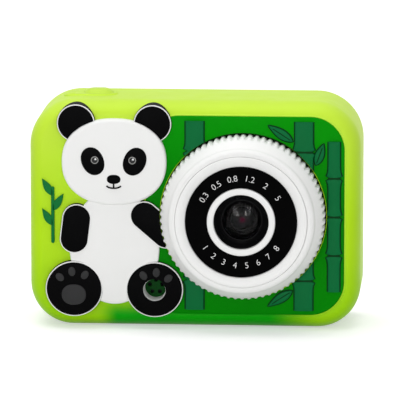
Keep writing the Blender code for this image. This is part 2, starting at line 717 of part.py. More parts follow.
def make_lens_ring(place):
    """The knurled ring: a toothed back edge, a smooth tapered side and nose, and a stepped bore."""
    base = RING_RADIUS - TOOTH_HEIGHT
    tooth = 2 * math.pi / TOOTH_COUNT
    bore_radius = BARREL_RADIUS + SLIDE_GAP
    seat_radius = BEZEL_RADIUS + SLIDE_GAP
    front = FRONT + RING_SETBACK
    back = CASE_FRONT + RING_SINK
    teeth_start = back - TOOTH_LENGTH
    step = FRONT + BEZEL_THICK + SLIDE_GAP
    bm = bmesh.new()

    def toothed(depth):
        ring = []
        for i in range(TOOTH_COUNT):
            for share, radius in ((0.0, base), (TOOTH_FLANK, RING_RADIUS), (1 - TOOTH_FLANK, RING_RADIUS)):
                angle = (i + share) * tooth
                ring.append(bm.verts.new((radius * math.cos(angle), depth, radius * math.sin(angle))))
        return ring

    def plain(radius, depth):
        angles = [(i + 0.5) * tooth for i in range(TOOTH_COUNT)]
        return [bm.verts.new((radius * math.cos(a), depth, radius * math.sin(a))) for a in angles]

    def join_plain(first, second):
        for i in range(TOOTH_COUNT):
            j = (i + 1) % TOOTH_COUNT
            bm.faces.new((first[i], first[j], second[j], second[i]))

    def join_toothed(teeth, ring):
        for i in range(TOOTH_COUNT):
            j = (i + 1) % TOOTH_COUNT
            outer = [teeth[3 * i + 1], teeth[3 * i + 2], teeth[3 * j], teeth[3 * j + 1]]
            bm.faces.new((ring[i], outer[0], outer[1]))
            bm.faces.new((ring[i], outer[1], outer[2]))
            bm.faces.new((ring[i], outer[2], ring[j]))
            bm.faces.new((ring[j], outer[2], outer[3]))

    teeth_front = toothed(teeth_start)
    teeth_back = toothed(back)
    for i in range(len(teeth_front)):
        j = (i + 1) % len(teeth_front)
        bm.faces.new((teeth_front[i], teeth_front[j], teeth_back[j], teeth_back[i]))
    collar = plain(base, teeth_start - TOOTH_BEVEL)
    nose = plain(seat_radius + RING_LAND, front)
    bend = plain((seat_radius + RING_LAND + 2 * base) / 3 + SLIDE_GAP, front + RING_BEND)
    mouth = plain(seat_radius, front)
    ledge = plain(seat_radius, step)
    bore_front = plain(bore_radius, step)
    bore_back = plain(bore_radius, back)
    join_toothed(teeth_front, collar)
    for first, second in ((collar, bend), (bend, nose), (nose, mouth), (mouth, ledge), (ledge, bore_front),
                          (bore_front, bore_back)):
        join_plain(first, second)
    join_toothed(teeth_back, bore_back)
    return add_body("lens_ring", bm, material("white_abs", WHITE, 0.35), place)


def make_lens(place):
    """The lens group on the front of the body, from the barrel to the image sensor."""
    white = material("white_abs", WHITE, 0.35)
    black = material("black_abs", BLACK, 0.3)
    web_front = FRONT + BEZEL_THICK + SEAT_GAP
    web_back = web_front + BARREL_WEB
    flange_back = BODY_FRONT - SEAT_GAP
    flange_front = flange_back - FLANGE_THICK
    hole = HOLDER_RADIUS + SEAT_GAP
    inner = BARREL_RADIUS - BARREL_WALL
    pieces = [turned("lens_barrel", [(hole, web_front), (BARREL_RADIUS, web_front),
                                     (BARREL_RADIUS, flange_front),
                                     (BARREL_RADIUS + BARREL_FLANGE, flange_front),
                                     (BARREL_RADIUS + BARREL_FLANGE, flange_back),
                                     (inner, flange_back), (inner, web_back), (hole, web_back)],
                     material("grey_abs", GREY, 0.5), place, closed=True)]
    pieces.append(make_lens_ring(place))

    bezel_bore = TRIM_OUTER + SEAT_GAP
    bezel_back = web_front - SEAT_GAP
    pieces.append(turned("lens_bezel", [(BEZEL_RADIUS, FRONT + BEZEL_DROP / 3),
                                        (BEZEL_RADIUS - BEZEL_DROP / 3, FRONT),
                                        (bezel_bore, FRONT + BEZEL_DROP), (bezel_bore, bezel_back),
                                        (BEZEL_RADIUS, bezel_back)], white, place, closed=True))
    trim_bore = INNER_RING_OUTER + SEAT_GAP
    trim_front = bezel_back - TRIM_THICK
    pieces.append(turned("trim_ring", [(trim_bore, trim_front), (TRIM_OUTER, trim_front),
                                       (TRIM_OUTER, bezel_back), (trim_bore, bezel_back)],
                         black, place, closed=True))
    ring_front = bezel_back - INNER_RING_THICK
    edge = INNER_RING_THICK / 4
    pieces.append(turned("inner_ring", [(INNER_RING_BORE + edge, ring_front),
                                        (INNER_RING_OUTER - edge, ring_front),
                                        (INNER_RING_OUTER, ring_front + edge), (INNER_RING_OUTER, bezel_back),
                                        (INNER_RING_BORE, bezel_back), (INNER_RING_BORE, ring_front + edge)],
                         white, place, closed=True))

    holder_front = web_front
    holder_back = holder_front + HOLDER_LENGTH
    step = holder_front + HOLDER_STEP_DEPTH
    glass_seat = step + GLASS_CROWN + GLASS_THICK
    cell = GLASS_RADIUS + SEAT_GAP
    pieces.append(turned("lens_holder", [(INNER_RING_BORE - SEAT_GAP, holder_front),
                                         (HOLDER_RADIUS, holder_front),
                                         (HOLDER_RADIUS, holder_back), (HOLDER_BORE, holder_back),
                                         (HOLDER_BORE, glass_seat + SEAT_GAP), (cell, glass_seat + SEAT_GAP),
                                         (cell, step), (cell + HOLDER_LEDGE, step)],
                         black, place, closed=True))
    dome = [(GLASS_RADIUS, glass_seat), (GLASS_RADIUS, glass_seat - GLASS_THICK)]
    for i in range(1, DOME_STEPS):
        share = 1 - i / DOME_STEPS
        dome.append((GLASS_RADIUS * share, glass_seat - GLASS_THICK - GLASS_CROWN * (1 - share ** 2)))
    pieces.append(turned("front_lens", dome, material("lens_glass", GLASS, 0.05), place,
                         steps=OUTLINE_STEPS))

    sensor_front = holder_back + SEAT_GAP
    sensor_outline = rounded_rect(SENSOR_BOARD_SIZE, SENSOR_BOARD_SIZE, SENSOR_BOARD_SIZE / 12, steps=2)
    chip_outline = rounded_rect(SENSOR_SIZE, SENSOR_SIZE, SENSOR_SIZE / 12, steps=1)
    pieces.append(loft("sensor_board", [(sensor_front, sensor_outline),
                                        (sensor_front + SENSOR_BOARD_THICK, sensor_outline)],
                       material("board_green", BOARD_GREEN, 0.5), place))
    chip_back = sensor_front - SEAT_GAP
    pieces.append(loft("image_sensor", [(chip_back - SENSOR_THICK, chip_outline), (chip_back, chip_outline)],
                       material("chip_black", BLACK, 0.4), place))
    return pieces


def boss_places():
    """The four corners where the screws hold the two shells together."""
    x = BODY_WIDTH / 2 - BOSS_INSET
    low = BODY_BOTTOM + BOSS_INSET
    high = BODY_TOP - BOSS_INSET
    return [(-x, low), (x, low), (-x, high), (x, high)]


def make_front_shell():
    """The front half of the hard body, with screw bosses, the lens opening and the sound holes."""
    shell = loft("front_shell", [(BODY_FRONT, body_outline(-SHELL_CHAMFER)),
                                 (BODY_FRONT + SHELL_CHAMFER, body_outline(0.0)),
                                 (PARTING, body_outline(0.0))], material("body_green", BODY_GREEN, 0.45))
    floor = BODY_FRONT + SHELL_WALL
    hollow = as_cutter(loft("front_hollow", [(floor, body_outline(-SHELL_WALL)),
                                             (PARTING + FIT_GAP, body_outline(-SHELL_WALL))]))
    cut(shell, hollow)
    holes = []
    for i, (x, z) in enumerate(boss_places()):
        boss = turned(f"front_boss_{i}", [(BOSS_RADIUS, floor - SHELL_WALL / 2), (BOSS_RADIUS, PARTING)],
                      place=(x, 0.0, z), steps=SMALL_STEPS)
        fuse(shell, as_cutter(boss))
        holes.append(bore(f"front_pilot_{i}", SCREW_RADIUS + SEAT_GAP, SCREW_TIP - FIT_GAP, PARTING + FIT_GAP,
                          (x, 0.0, z), steps=TINY_STEPS))
    cut(shell, *holes)
    cut(shell, bore("lens_opening", LENS_OPENING, BODY_FRONT - FIT_GAP, floor + FIT_GAP,
                    (LENS_X, 0.0, LENS_Z)))
    for i in range(SOUND_HOLE_COUNT):
        angle = 2 * math.pi * i / SOUND_HOLE_COUNT + math.pi / 2
        x = PORT_X + SOUND_HOLE_RING * math.cos(angle)
        z = PORT_Z + SOUND_HOLE_RING * math.sin(angle)
        cut(shell, bore(f"sound_hole_{i}", SOUND_HOLE_RADIUS, BODY_FRONT - FIT_GAP, floor + FIT_GAP,
                        (x, 0.0, z), steps=TINY_STEPS))
    return shell


def key_places():
    """Each back key's name, place and radius."""
    keys = [("key_ok", PAD_X, PAD_Z, OK_RADIUS),
            ("power_button", PAD_X, PAD_Z + POWER_ABOVE_PAD, POWER_RADIUS)]
    for name, degrees in (("key_up", 90), ("key_down", 270), ("key_left", 180), ("key_right", 0)):
        angle = math.radians(degrees)
        x = PAD_X + PAD_RADIUS * math.cos(angle)
        z = PAD_Z + PAD_RADIUS * math.sin(angle)
        keys.append((name, x, z, KEY_RADIUS))
    return keys


def socket_cutter(name, x, y, width, thick):
    """A hole through the body's underside for a socket's mouth."""
    outline = rounded_rect(width + 2 * FIT_GAP, thick + 2 * FIT_GAP, thick / 2, (x, y), steps=4)
    return as_cutter(loft(name, [(0.0, outline), (BODY_BOTTOM + SHELL_WALL + FIT_GAP, outline)],
                          plane=facing_up))


def make_rear_shell():
    """The rear half of the hard body, with the screen's seat, the key holes and the screw bosses."""
    front = PARTING + SEAT_GAP
    shell = loft("rear_shell", [(front, body_outline(0.0)), (BODY_BACK - SHELL_CHAMFER, body_outline(0.0)),
                                (BODY_BACK, body_outline(-SHELL_CHAMFER))],
                 material("body_green", BODY_GREEN, 0.45))
    floor = BODY_BACK - SHELL_WALL
    hollow = as_cutter(loft("rear_hollow", [(front - FIT_GAP, body_outline(-SHELL_WALL)),
                                            (floor, body_outline(-SHELL_WALL))]))
    cut(shell, hollow)
    for i, (x, z) in enumerate(boss_places()):
        boss = turned(f"rear_boss_{i}", [(BOSS_RADIUS, front), (BOSS_RADIUS, floor + SHELL_WALL / 2)],
                      place=(x, 0.0, z), steps=SMALL_STEPS)
        fuse(shell, as_cutter(boss))
        cut(shell, bore(f"screw_way_{i}", SCREW_RADIUS + FIT_GAP, front - FIT_GAP, SCREW_FLOOR + FIT_GAP,
                        (x, 0.0, z), steps=TINY_STEPS),
            bore(f"screw_well_{i}", SCREW_HEAD_RADIUS + FIT_GAP, SCREW_FLOOR, BODY_BACK + FIT_GAP,
                 (x, 0.0, z), steps=SMALL_STEPS))

    seat = rounded_rect(SCREEN_WIDTH + 2 * SEAT_GAP, SCREEN_HEIGHT + 2 * SEAT_GAP, SCREEN_CORNER + SEAT_GAP,
                        (SCREEN_X, SCREEN_Z), steps=4)
    sight = rounded_rect(SCREEN_WIDTH - 2 * SCREEN_FRAME, SCREEN_HEIGHT - 2 * SCREEN_FRAME, SCREEN_CORNER / 2,
                         (SCREEN_X, SCREEN_Z), steps=4)
    cut(shell, as_cutter(loft("screen_seat", [(BODY_BACK - SCREEN_THICK - SEAT_GAP, seat),
                                              (BODY_BACK + FIT_GAP, seat)])),
        as_cutter(loft("screen_sight", [(floor - FIT_GAP, sight), (BODY_BACK + FIT_GAP, sight)])))
    for name, x, z, radius in key_places():
        cut(shell, bore(f"{name}_hole", radius + SLIDE_GAP, floor - FIT_GAP, BODY_BACK + FIT_GAP, (x, 0.0, z),
                        steps=SMALL_STEPS))
    shutter_way = shutter_outline(SLIDE_GAP)
    cut(shell, as_cutter(loft("shell_shutter_hole", [(BODY_TOP - SHELL_WALL - FIT_GAP, shutter_way),
                                                     (BODY_TOP + FIT_GAP, shutter_way)], plane=facing_up)),
        socket_cutter("usb_mouth", USB_FROM_MIDDLE, USB_Y, USB_WIDTH, USB_THICK),
        socket_cutter("card_mouth", CARD_FROM_MIDDLE, CARD_Y, CARD_WIDTH, CARD_THICK))
    return shell


def make_screws():
    """Four self-tapping screws, driven from the back down the wells in its corners."""
    steel = material("screw_steel", STEEL, 0.35, 1.0)
    head_front = SCREW_FLOOR + SEAT_GAP
    head_back = head_front + SCREW_HEAD_THICK
    profile = [(SCREW_RADIUS / 3, SCREW_TIP), (SCREW_RADIUS, SCREW_TIP + SCREW_POINT),
               (SCREW_RADIUS, head_front),
               (SCREW_HEAD_RADIUS, head_front), (SCREW_HEAD_RADIUS, head_back - SCREW_HEAD_THICK / 3),
               (SCREW_HEAD_RADIUS - SCREW_HEAD_THICK / 2, head_back)]
    return [turned(f"case_screw_{i + 1}", profile, steel, (x, 0.0, z), steps=TINY_STEPS)
            for i, (x, z) in enumerate(boss_places())]


def make_screen():
    """The clear window in the back and the display panel behind it."""
    window = rounded_rect(SCREEN_WIDTH, SCREEN_HEIGHT, SCREEN_CORNER, (SCREEN_X, SCREEN_Z), steps=4)
    pieces = [loft("screen_window", [(BODY_BACK - SCREEN_THICK, window), (BODY_BACK, window)],
                   material("screen_acrylic", GLASS, 0.08))]
    panel = rounded_rect(SCREEN_WIDTH - 2 * LCD_INSET, SCREEN_HEIGHT - 2 * LCD_INSET, SCREEN_CORNER / 4,
                         (SCREEN_X, SCREEN_Z), steps=1)
    pieces.append(loft("lcd_panel", [(LCD_BACK - LCD_THICK, panel), (LCD_BACK, panel)],
                       material("lcd_grey", GREY, 0.2)))
    return pieces


def make_board():
    """The main board, notched at its corners for the screw bosses."""
    width = BODY_WIDTH - 2 * SHELL_WALL - 2 * BOARD_MARGIN
    height = BODY_HEIGHT - 2 * SHELL_WALL - 2 * BOARD_MARGIN
    x, z = width / 2, height / 2
    notch = BOSS_INSET + BOSS_RADIUS + RING_GAP - SHELL_WALL - BOARD_MARGIN
    corner = [(x, z - notch), (x - notch, z - notch), (x - notch, z)]
    outline = corner + [(-a, b) for a, b in corner[::-1]]
    outline += [(-a, -b) for a, b in corner] + [(a, -b) for a, b in corner[::-1]]
    outline = [(a, b + CASE_HEIGHT / 2) for a, b in outline]
    return loft("main_board", [(BOARD_FRONT, outline), (BOARD_BACK, outline)],
                material("board_green", BOARD_GREEN, 0.5))


def make_electrics():
    """The battery, speaker, microphone and the two sockets."""
    pieces = []
    floor = BODY_FRONT + SHELL_WALL + FIT_GAP
    speaker_z = max(PORT_Z, BODY_BOTTOM + SHELL_WALL + FIT_GAP + SPEAKER_RADIUS)
    cell_low = speaker_z + SPEAKER_RADIUS + BATTERY_ABOVE_SPEAKER
    cell_high = BODY_TOP - BATTERY_FROM_TOP
    cell = (BODY_LEFT + BATTERY_FROM_LEFT + BATTERY_WIDTH / 2, (cell_low + cell_high) / 2)
    pouch = rounded_rect(BATTERY_WIDTH, cell_high - cell_low, BATTERY_THICK / 4, cell, steps=3)
    soft = BATTERY_THICK / 5
    pieces.append(loft("battery", [(floor, grow(pouch, -soft)), (floor + soft, pouch),
                                   (floor + BATTERY_THICK - soft, pouch),
                                   (floor + BATTERY_THICK, grow(pouch, -soft))],
                       material("battery_foil", FOIL, 0.4, 0.6)))
    rim = floor + SPEAKER_RIM
    pieces.append(turned("speaker", [(SPEAKER_RADIUS, floor), (SPEAKER_RADIUS, rim), (MAGNET_RADIUS, rim),
                                     (MAGNET_RADIUS, floor + SPEAKER_DEPTH)],
                         material("speaker_steel", STEEL, 0.4, 1.0), (PORT_X, 0.0, speaker_z),
                         steps=OUTLINE_STEPS))
    capsule_back = BOARD_FRONT - SEAT_GAP
    pieces.append(turned("microphone", [(MICROPHONE_RADIUS, capsule_back - MICROPHONE_THICK),
                                        (MICROPHONE_RADIUS, capsule_back)],
                         material("speaker_steel", STEEL, 0.4, 1.0),
                         (BODY_RIGHT - MICROPHONE_FROM_RIGHT, 0.0, CASE_HEIGHT / 2), steps=SMALL_STEPS))

    usb = rounded_rect(USB_WIDTH, USB_THICK, USB_THICK / 2, (USB_FROM_MIDDLE, USB_Y), steps=4)
    usb_slot = grow(usb, -USB_WALL)
    socket = loft("usb_socket", [(SOCKET_BOTTOM, usb), (SOCKET_BOTTOM + USB_LENGTH, usb)],
                  material("socket_steel", STEEL, 0.3, 1.0), plane=facing_up)
    way = as_cutter(loft("usb_slot", [(0.0, usb_slot), (SOCKET_BOTTOM + USB_SLOT_DEPTH, usb_slot)],
                         plane=facing_up))
    pieces.append(cut(socket, way))
    card = rounded_rect(CARD_WIDTH, CARD_THICK, CARD_THICK / 8, (CARD_FROM_MIDDLE, CARD_Y), steps=1)
    slot = rounded_rect(CARD_SLOT_WIDTH, CARD_SLOT_THICK, CARD_SLOT_THICK / 8, (CARD_FROM_MIDDLE, CARD_Y),
                        steps=1)
    holder = loft("card_socket", [(SOCKET_BOTTOM, card), (SOCKET_BOTTOM + CARD_LENGTH, card)],
                  material("socket_steel", STEEL, 0.3, 1.0), plane=facing_up)
    way = as_cutter(loft("card_slot", [(0.0, slot), (SOCKET_BOTTOM + CARD_SLOT_DEPTH, slot)],
                         plane=facing_up))
    pieces.append(cut(holder, way))
    return pieces


def make_keys():
    """The back keys on their slides, each over its own switch on the board."""
    pieces = []
    finish = material("key_lime", LIME, 0.4)
    flange_back = BODY_BACK - SHELL_WALL - FIT_GAP
    flange_front = flange_back - KEY_FLANGE_THICK
    cap = BODY_BACK + KEY_PROUD
    switch_front = BOARD_BACK + SEAT_GAP
    plunger = flange_front - KEY_TRAVEL - PRESS_RESERVE
    base = plunger - SWITCH_PLUNGER_RISE
    for name, x, z, radius in key_places():
        flange = radius + KEY_FLANGE
        profile = [(flange, flange_front), (flange, flange_back), (radius, flange_back),
                   (radius, cap - KEY_EDGE), (radius - KEY_EDGE, cap)]
        local = [(r, y - flange_front) for r, y in profile]
        pieces.append(turned(name, local, finish, (x, flange_front, z), steps=SMALL_STEPS))
        label = name.replace("key_", "").replace("_button", "")
        outline = rounded_rect(SWITCH_SIZE, SWITCH_SIZE, SWITCH_SIZE / 10, (x, z), steps=1)
        stub = rounded_rect(SWITCH_PLUNGER * 2, SWITCH_PLUNGER * 2, SWITCH_PLUNGER / 3, (x, z), steps=1)
        pieces.append(loft(f"switch_{label}", [(switch_front, outline), (base, outline), (base, stub),
                                               (plunger, stub)], material("switch_steel", STEEL, 0.35, 0.8)))
    return pieces


def make_shutter():
    """The oblong shutter button in the top and the side-facing switch under it."""
    flange_top = BODY_TOP - SHELL_WALL - FIT_GAP
    flange_bottom = flange_top - SHUTTER_FLANGE_THICK
    cap = CASE_HEIGHT + SHUTTER_PROUD
    outline = rounded_rect(SHUTTER_LENGTH, SHUTTER_WIDTH, SHUTTER_WIDTH / 2)
    wide = grow(outline, KEY_FLANGE)
    sections = [(flange_bottom, wide), (flange_top, wide), (flange_top, outline),
                (cap - KEY_EDGE, outline), (cap, grow(outline, -2 * KEY_EDGE))]
    local = [(level - flange_bottom, points) for level, points in sections]
    button = loft("shutter_button", local, material("key_lime", LIME, 0.4),
                  (SHUTTER_X, SHUTTER_Y, flange_bottom), plane=facing_up)
    plunger = flange_bottom - SHUTTER_TRAVEL - PRESS_RESERVE
    base = plunger - SWITCH_PLUNGER_RISE
    centre = (SHUTTER_X, BOARD_FRONT - SEAT_GAP - SWITCH_SIZE / 2)
    body = rounded_rect(SWITCH_SIZE, SWITCH_SIZE, SWITCH_SIZE / 10, centre, steps=1)
    stub = rounded_rect(SWITCH_PLUNGER * 2, SWITCH_PLUNGER * 2, SWITCH_PLUNGER / 3, centre, steps=1)
    switch = loft("switch_shutter", [(base - SHUTTER_SWITCH_HEIGHT, body), (base, body), (base, stub),
                                     (plunger, stub)],
                  material("switch_steel", STEEL, 0.35, 0.8), plane=facing_up)
    return [button, switch]


def parent_all(pieces):
    """Hang every piece on one empty at the origin, where the camera stands."""
    stand = bpy.data.objects.new("camera_stand", None)
    bpy.context.collection.objects.link(stand)
    for piece in pieces:
        piece.parent = stand


def main():
    clear_scene()
    lens_place = (LENS_X, 0.0, LENS_Z)
    ring_hole = bore("ring_hole", RING_HOLE, FRONT - FIT_GAP, BODY_FRONT + FIT_GAP, lens_place)
    port = bore("sound_port", PORT_RADIUS, FRONT - FIT_GAP, BODY_FRONT + FIT_GAP, (PORT_X, 0.0, PORT_Z),
                steps=OUTLINE_STEPS)
    pieces = [make_case(ring_hole, port), make_sprig(), make_front_shell(), make_rear_shell(), make_board()]
    rooms = relief_rooms()
    pieces += make_panel(ring_hole, rooms)
    pieces += make_bear(ring_hole, port, rooms)
    pieces += make_lens(lens_place)
    pieces += make_screws()
    pieces += make_screen()
    pieces += make_electrics()
    pieces += make_keys()
    pieces += make_shutter()
    parent_all(pieces)


main()
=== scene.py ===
"""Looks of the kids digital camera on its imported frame: mouldings, materials, floor, light and camera."""

import math

import bmesh
import bpy
from mathutils import Matrix, Vector


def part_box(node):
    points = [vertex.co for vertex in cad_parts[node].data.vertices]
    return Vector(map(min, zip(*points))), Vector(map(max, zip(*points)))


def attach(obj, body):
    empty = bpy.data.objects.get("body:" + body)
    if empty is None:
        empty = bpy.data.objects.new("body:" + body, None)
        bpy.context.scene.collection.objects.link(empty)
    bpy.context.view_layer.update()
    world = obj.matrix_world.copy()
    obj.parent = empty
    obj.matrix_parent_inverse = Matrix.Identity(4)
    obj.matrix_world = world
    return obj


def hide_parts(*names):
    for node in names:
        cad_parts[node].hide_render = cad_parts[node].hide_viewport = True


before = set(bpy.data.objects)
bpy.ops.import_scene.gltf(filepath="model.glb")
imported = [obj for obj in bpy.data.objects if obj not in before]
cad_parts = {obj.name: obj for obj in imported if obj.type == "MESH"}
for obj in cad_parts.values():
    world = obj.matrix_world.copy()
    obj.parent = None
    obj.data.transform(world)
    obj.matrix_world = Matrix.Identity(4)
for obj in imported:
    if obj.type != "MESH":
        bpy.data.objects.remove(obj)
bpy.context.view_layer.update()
ROOT = "camera_body"


def centre_of(low, high):
    """The middle of a box, seen from the front."""
    return (low.x + high.x) / 2, (low.z + high.z) / 2


def level_centre(low, high):
    """The middle of a box, seen from above."""
    return (low.x + high.x) / 2, (low.y + high.y) / 2


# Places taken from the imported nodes, and the sizes that the source gives them
CASE_LOW, CASE_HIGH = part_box("silicone_case")
WIDTH = CASE_HIGH.x - CASE_LOW.x
HEIGHT = CASE_HIGH.z
CASE_FRONT = CASE_LOW.y
CASE_BACK = CASE_HIGH.y
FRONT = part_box("lens_bezel")[0].y
RING_LOW, RING_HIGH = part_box("lens_ring")
LENS_X, LENS_Z = centre_of(RING_LOW, RING_HIGH)
RING_RADIUS = (RING_HIGH.x - RING_LOW.x) / 2
RING_HOLE = RING_RADIUS + 0.0006
LIP_INSIDE = RING_RADIUS + 0.0002
LIP_OUTSIDE = RING_RADIUS + 0.0004
SHELL_LOW, SHELL_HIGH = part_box("rear_shell")
BODY_BACK = SHELL_HIGH.y
BODY_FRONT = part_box("front_shell")[0].y
BODY_WIDTH = SHELL_HIGH.x - SHELL_LOW.x
BODY_HEIGHT = SHELL_HIGH.z - SHELL_LOW.z
PANEL_LOW, PANEL_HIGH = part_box("lens_panel")
PANEL_FRONT = PANEL_LOW.y
CORNER = 0.0130
LOW_CORNER = 0.0120
SHOULDER_INSET = 0.0040
SHOULDER_DEPTH = 0.0070
BACK_ROUND = 0.0030
END_WALL = 0.0046
LIP_COVER = 0.0025
SEAT_GAP = 0.00015

# The lens stack, as the source has it
BEZEL_RADIUS = 0.0182
BEZEL_DEPTH = 0.0017
BARREL_RADIUS = 0.0170
TRIM_RADIUS = 0.0153
BAND_RADIUS = 0.0094
BAND_BORE = 0.0076
RUN_GAP = 0.0003
DIAL_RADIUS, DIGIT_SIZE = 0.01215, 0.0024

# The panel and the relief: half sizes, and how far each stands out
PANEL_CORNER = 0.0094
INLAY_RISE = 0.0006
GROOVE_WIDTH, GROOVE_RISE = 0.00034, 0.00012
HEAD_SIZE = (0.0145, 0.0120)
TORSO_SIZE = (0.0125, 0.0160)
FOOT_SIZE = (0.0080, 0.0078)
HEAD_RISE = 0.0028
EAR_RADIUS = 0.0053
EAR_ASIDE, EAR_ABOVE = 0.0106, 0.0107
LIMB_RADIUS = 0.0041
FOOT_RISE = 0.0026
FOOT_ASIDE, FOOT_Z = 0.0112, 0.0113
PORT_X = centre_of(*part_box("bear_foot_right"))[0]
PORT_RADIUS = 0.00315
CANE_WIDTH = 0.0050

# The buttons
KEYS = ("key_up", "key_down", "key_left", "key_right", "key_ok", "power_button")
FLANGE = 0.0007


# Node materials

def surface_of(made):
    return made.node_tree.nodes["Principled BSDF"].inputs


def shader(name, colour, roughness, metallic=0.0, **sockets):
    """A Principled material with constant values on its own sockets."""
    made = bpy.data.materials.new(name)
    made.use_nodes = True
    made.diffuse_color = (*colour, 1.0)
    values = {"Base Color": (*colour, 1.0), "Roughness": roughness, "Metallic": metallic, **sockets}
    for key, value in values.items():
        surface_of(made)[key.replace("_", " ")].default_value = value
    return made


def add(made, kind, **values):
    """Add a node and set its properties and its inputs by name."""
    node = made.node_tree.nodes.new(kind)
    for key, value in values.items():
        if key in node.inputs:
            node.inputs[key].default_value = value
        else:
            setattr(node, key, value)
    return node


def join(made, start, end):
    made.node_tree.links.new(start, end)


def place_of(made):
    return add(made, "ShaderNodeTexCoord").outputs["Object"]


def noise_of(made, scale, detail=3.0, rough=0.55):
    noise = add(made, "ShaderNodeTexNoise", Scale=scale, Detail=detail, Roughness=rough)
    join(made, place_of(made), noise.inputs["Vector"])
    return noise.outputs["Fac"]


def spread_of(made, factor, low, high, to_low=0.0, to_high=1.0):
    """A factor taken from one range to another."""
    limits = {"From Min": low, "From Max": high, "To Min": to_low, "To Max": to_high}
    node = add(made, "ShaderNodeMapRange", **limits)
    join(made, factor, node.inputs["Value"])
    return node.outputs["Result"]


def ramp_of(made, factor, low, high, stops):
    """Colours over a factor between two limits."""
    ramp = add(made, "ShaderNodeValToRGB")
    ramp.color_ramp.interpolation = 'EASE'
    elements = ramp.color_ramp.elements
    while len(elements) < len(stops):
        elements.new(0.5)
    for element, (at, colour) in zip(elements, stops):
        element.position = at
        element.color = (*colour, 1.0)
    join(made, spread_of(made, factor, low, high), ramp.inputs["Fac"])
    return ramp.outputs["Color"]


def times(made, first, second):
    """The product of two colours, each a constant or a socket."""
    mix = add(made, "ShaderNodeMix", data_type='RGBA', blend_type='MULTIPLY', Factor=1.0)
    for socket, colour in ((mix.inputs[6], first), (mix.inputs[7], second)):
        if isinstance(colour, tuple):
            socket.default_value = (*colour, 1.0)
        else:
            join(made, colour, socket)
    return mix.outputs[2]


def mottle(made, colour, scale, amount):
    """Give a material its colour, varied a little over the surface."""
    tint = ramp_of(made, noise_of(made, scale), 0.3, 0.7, ((0.0, (1 - amount,) * 3), (1.0, (1.0,) * 3)))
    join(made, times(made, colour, tint), surface_of(made)["Base Color"])


def grain(made, scale, strength, distance, rough_low, rough_high):
    """Fine moulded grain in the bump, and the roughness that goes with it."""
    bump = add(made, "ShaderNodeBump", Strength=strength, Distance=distance)
    join(made, noise_of(made, scale, 4.0, 0.6), bump.inputs["Height"])
    join(made, bump.outputs["Normal"], surface_of(made)["Normal"])
    rough = spread_of(made, noise_of(made, scale / 12), 0.3, 0.7, rough_low, rough_high)
    join(made, rough, surface_of(made)["Roughness"])
    return made


def moulded(name, colour, roughness=0.45, vary=0.05, scale=2600.0, depth=0.00002, gloss=0.15):
    """A moulded plastic or silicone with fine grain and a slight change of tone."""
    made = shader(name, colour, roughness, Specular_IOR_Level=gloss)
    mottle(made, colour, 60.0, vary)
    return grain(made, scale, 0.25, depth, roughness - 0.05, roughness + 0.06)


LIME = (0.45, 0.76, 0.008)
# deeper lime for the bottom of the sleeve: painted shade
LIME_SHADE_PAINTED = (0.32, 0.66, 0.001)
LOW_GREEN = (0.0, 0.36, 0.0)
GREEN = (0.0, 0.225, 0.0)
GREEN_DEEP = (0.0, 0.20, 0.0)
TEAL = (0.0, 0.14, 0.036)
# dark green for the grooves round the relief, its joints and leaf veins: painted shade
GROOVE = (0.0, 0.035, 0.006)
WHITE = (0.85, 0.85, 0.84)
BLACK = (0.0022, 0.0022, 0.0025)


def axis_of(made, name):
    split = add(made, "ShaderNodeSeparateXYZ")
    join(made, place_of(made), split.inputs["Vector"])
    return split.outputs[name]


def lime_silicone(name, low_tone, mid_tone, high_tone, low_start, low_end):
    """Lime silicone that turns green along the middle of its lower front edge; its deeper lime low down is
    painted shade and its paler lime at the top is painted light from above.
    """
    made = shader(name, mid_tone, 0.46, Specular_IOR_Level=0.12, Sheen_Weight=0.16, Sheen_Roughness=0.35,
                  Sheen_Tint=(0.95, 1.0, 0.45, 1.0))
    on, off = (1, 1, 1), (0, 0, 0)
    # painted light and shade: darker lime at the bottom, paler lime at the top, as light from above falls
    height_light_and_shade = ramp_of(made, axis_of(made, "Z"), 0.0, HEIGHT,
                   ((0.0, low_tone), (0.45, mid_tone), (1.0, high_tone)))
    low = ramp_of(made, axis_of(made, "Z"), low_start, low_end, ((0.0, on), (1.0, off)))
    across = ramp_of(made, axis_of(made, "X"), -0.0275, 0.0365,
                     ((0.0, off), (0.10, on), (0.75, on), (1.0, off)))
    front = ramp_of(made, axis_of(made, "Y"), 0.0, 0.012, ((0.0, on), (1.0, off)))
    blend = add(made, "ShaderNodeMix", data_type='RGBA')
    join(made, times(made, times(made, low, across), front), blend.inputs["Factor"])
    join(made, height_light_and_shade, blend.inputs[6])
    blend.inputs[7].default_value = (*LOW_GREEN, 1.0)
    mottle(made, blend.outputs[2], 45.0, 0.04)
    return grain(made, 2600.0, 0.2, 0.00002, 0.42, 0.52)


def toned_silicone(name, colour, gloss, low, high, stops, strength):
    """Silicone whose colour changes with height; here that is painted light on the panel and painted shade on
    the ring's lip.
    """
    made = shader(name, colour, 0.5, Specular_IOR_Level=gloss)
    mottle(made, ramp_of(made, axis_of(made, "Z"), low, high, stops), 70.0, 0.06)
    return grain(made, 2600.0, strength, 0.00002, 0.45, 0.56)
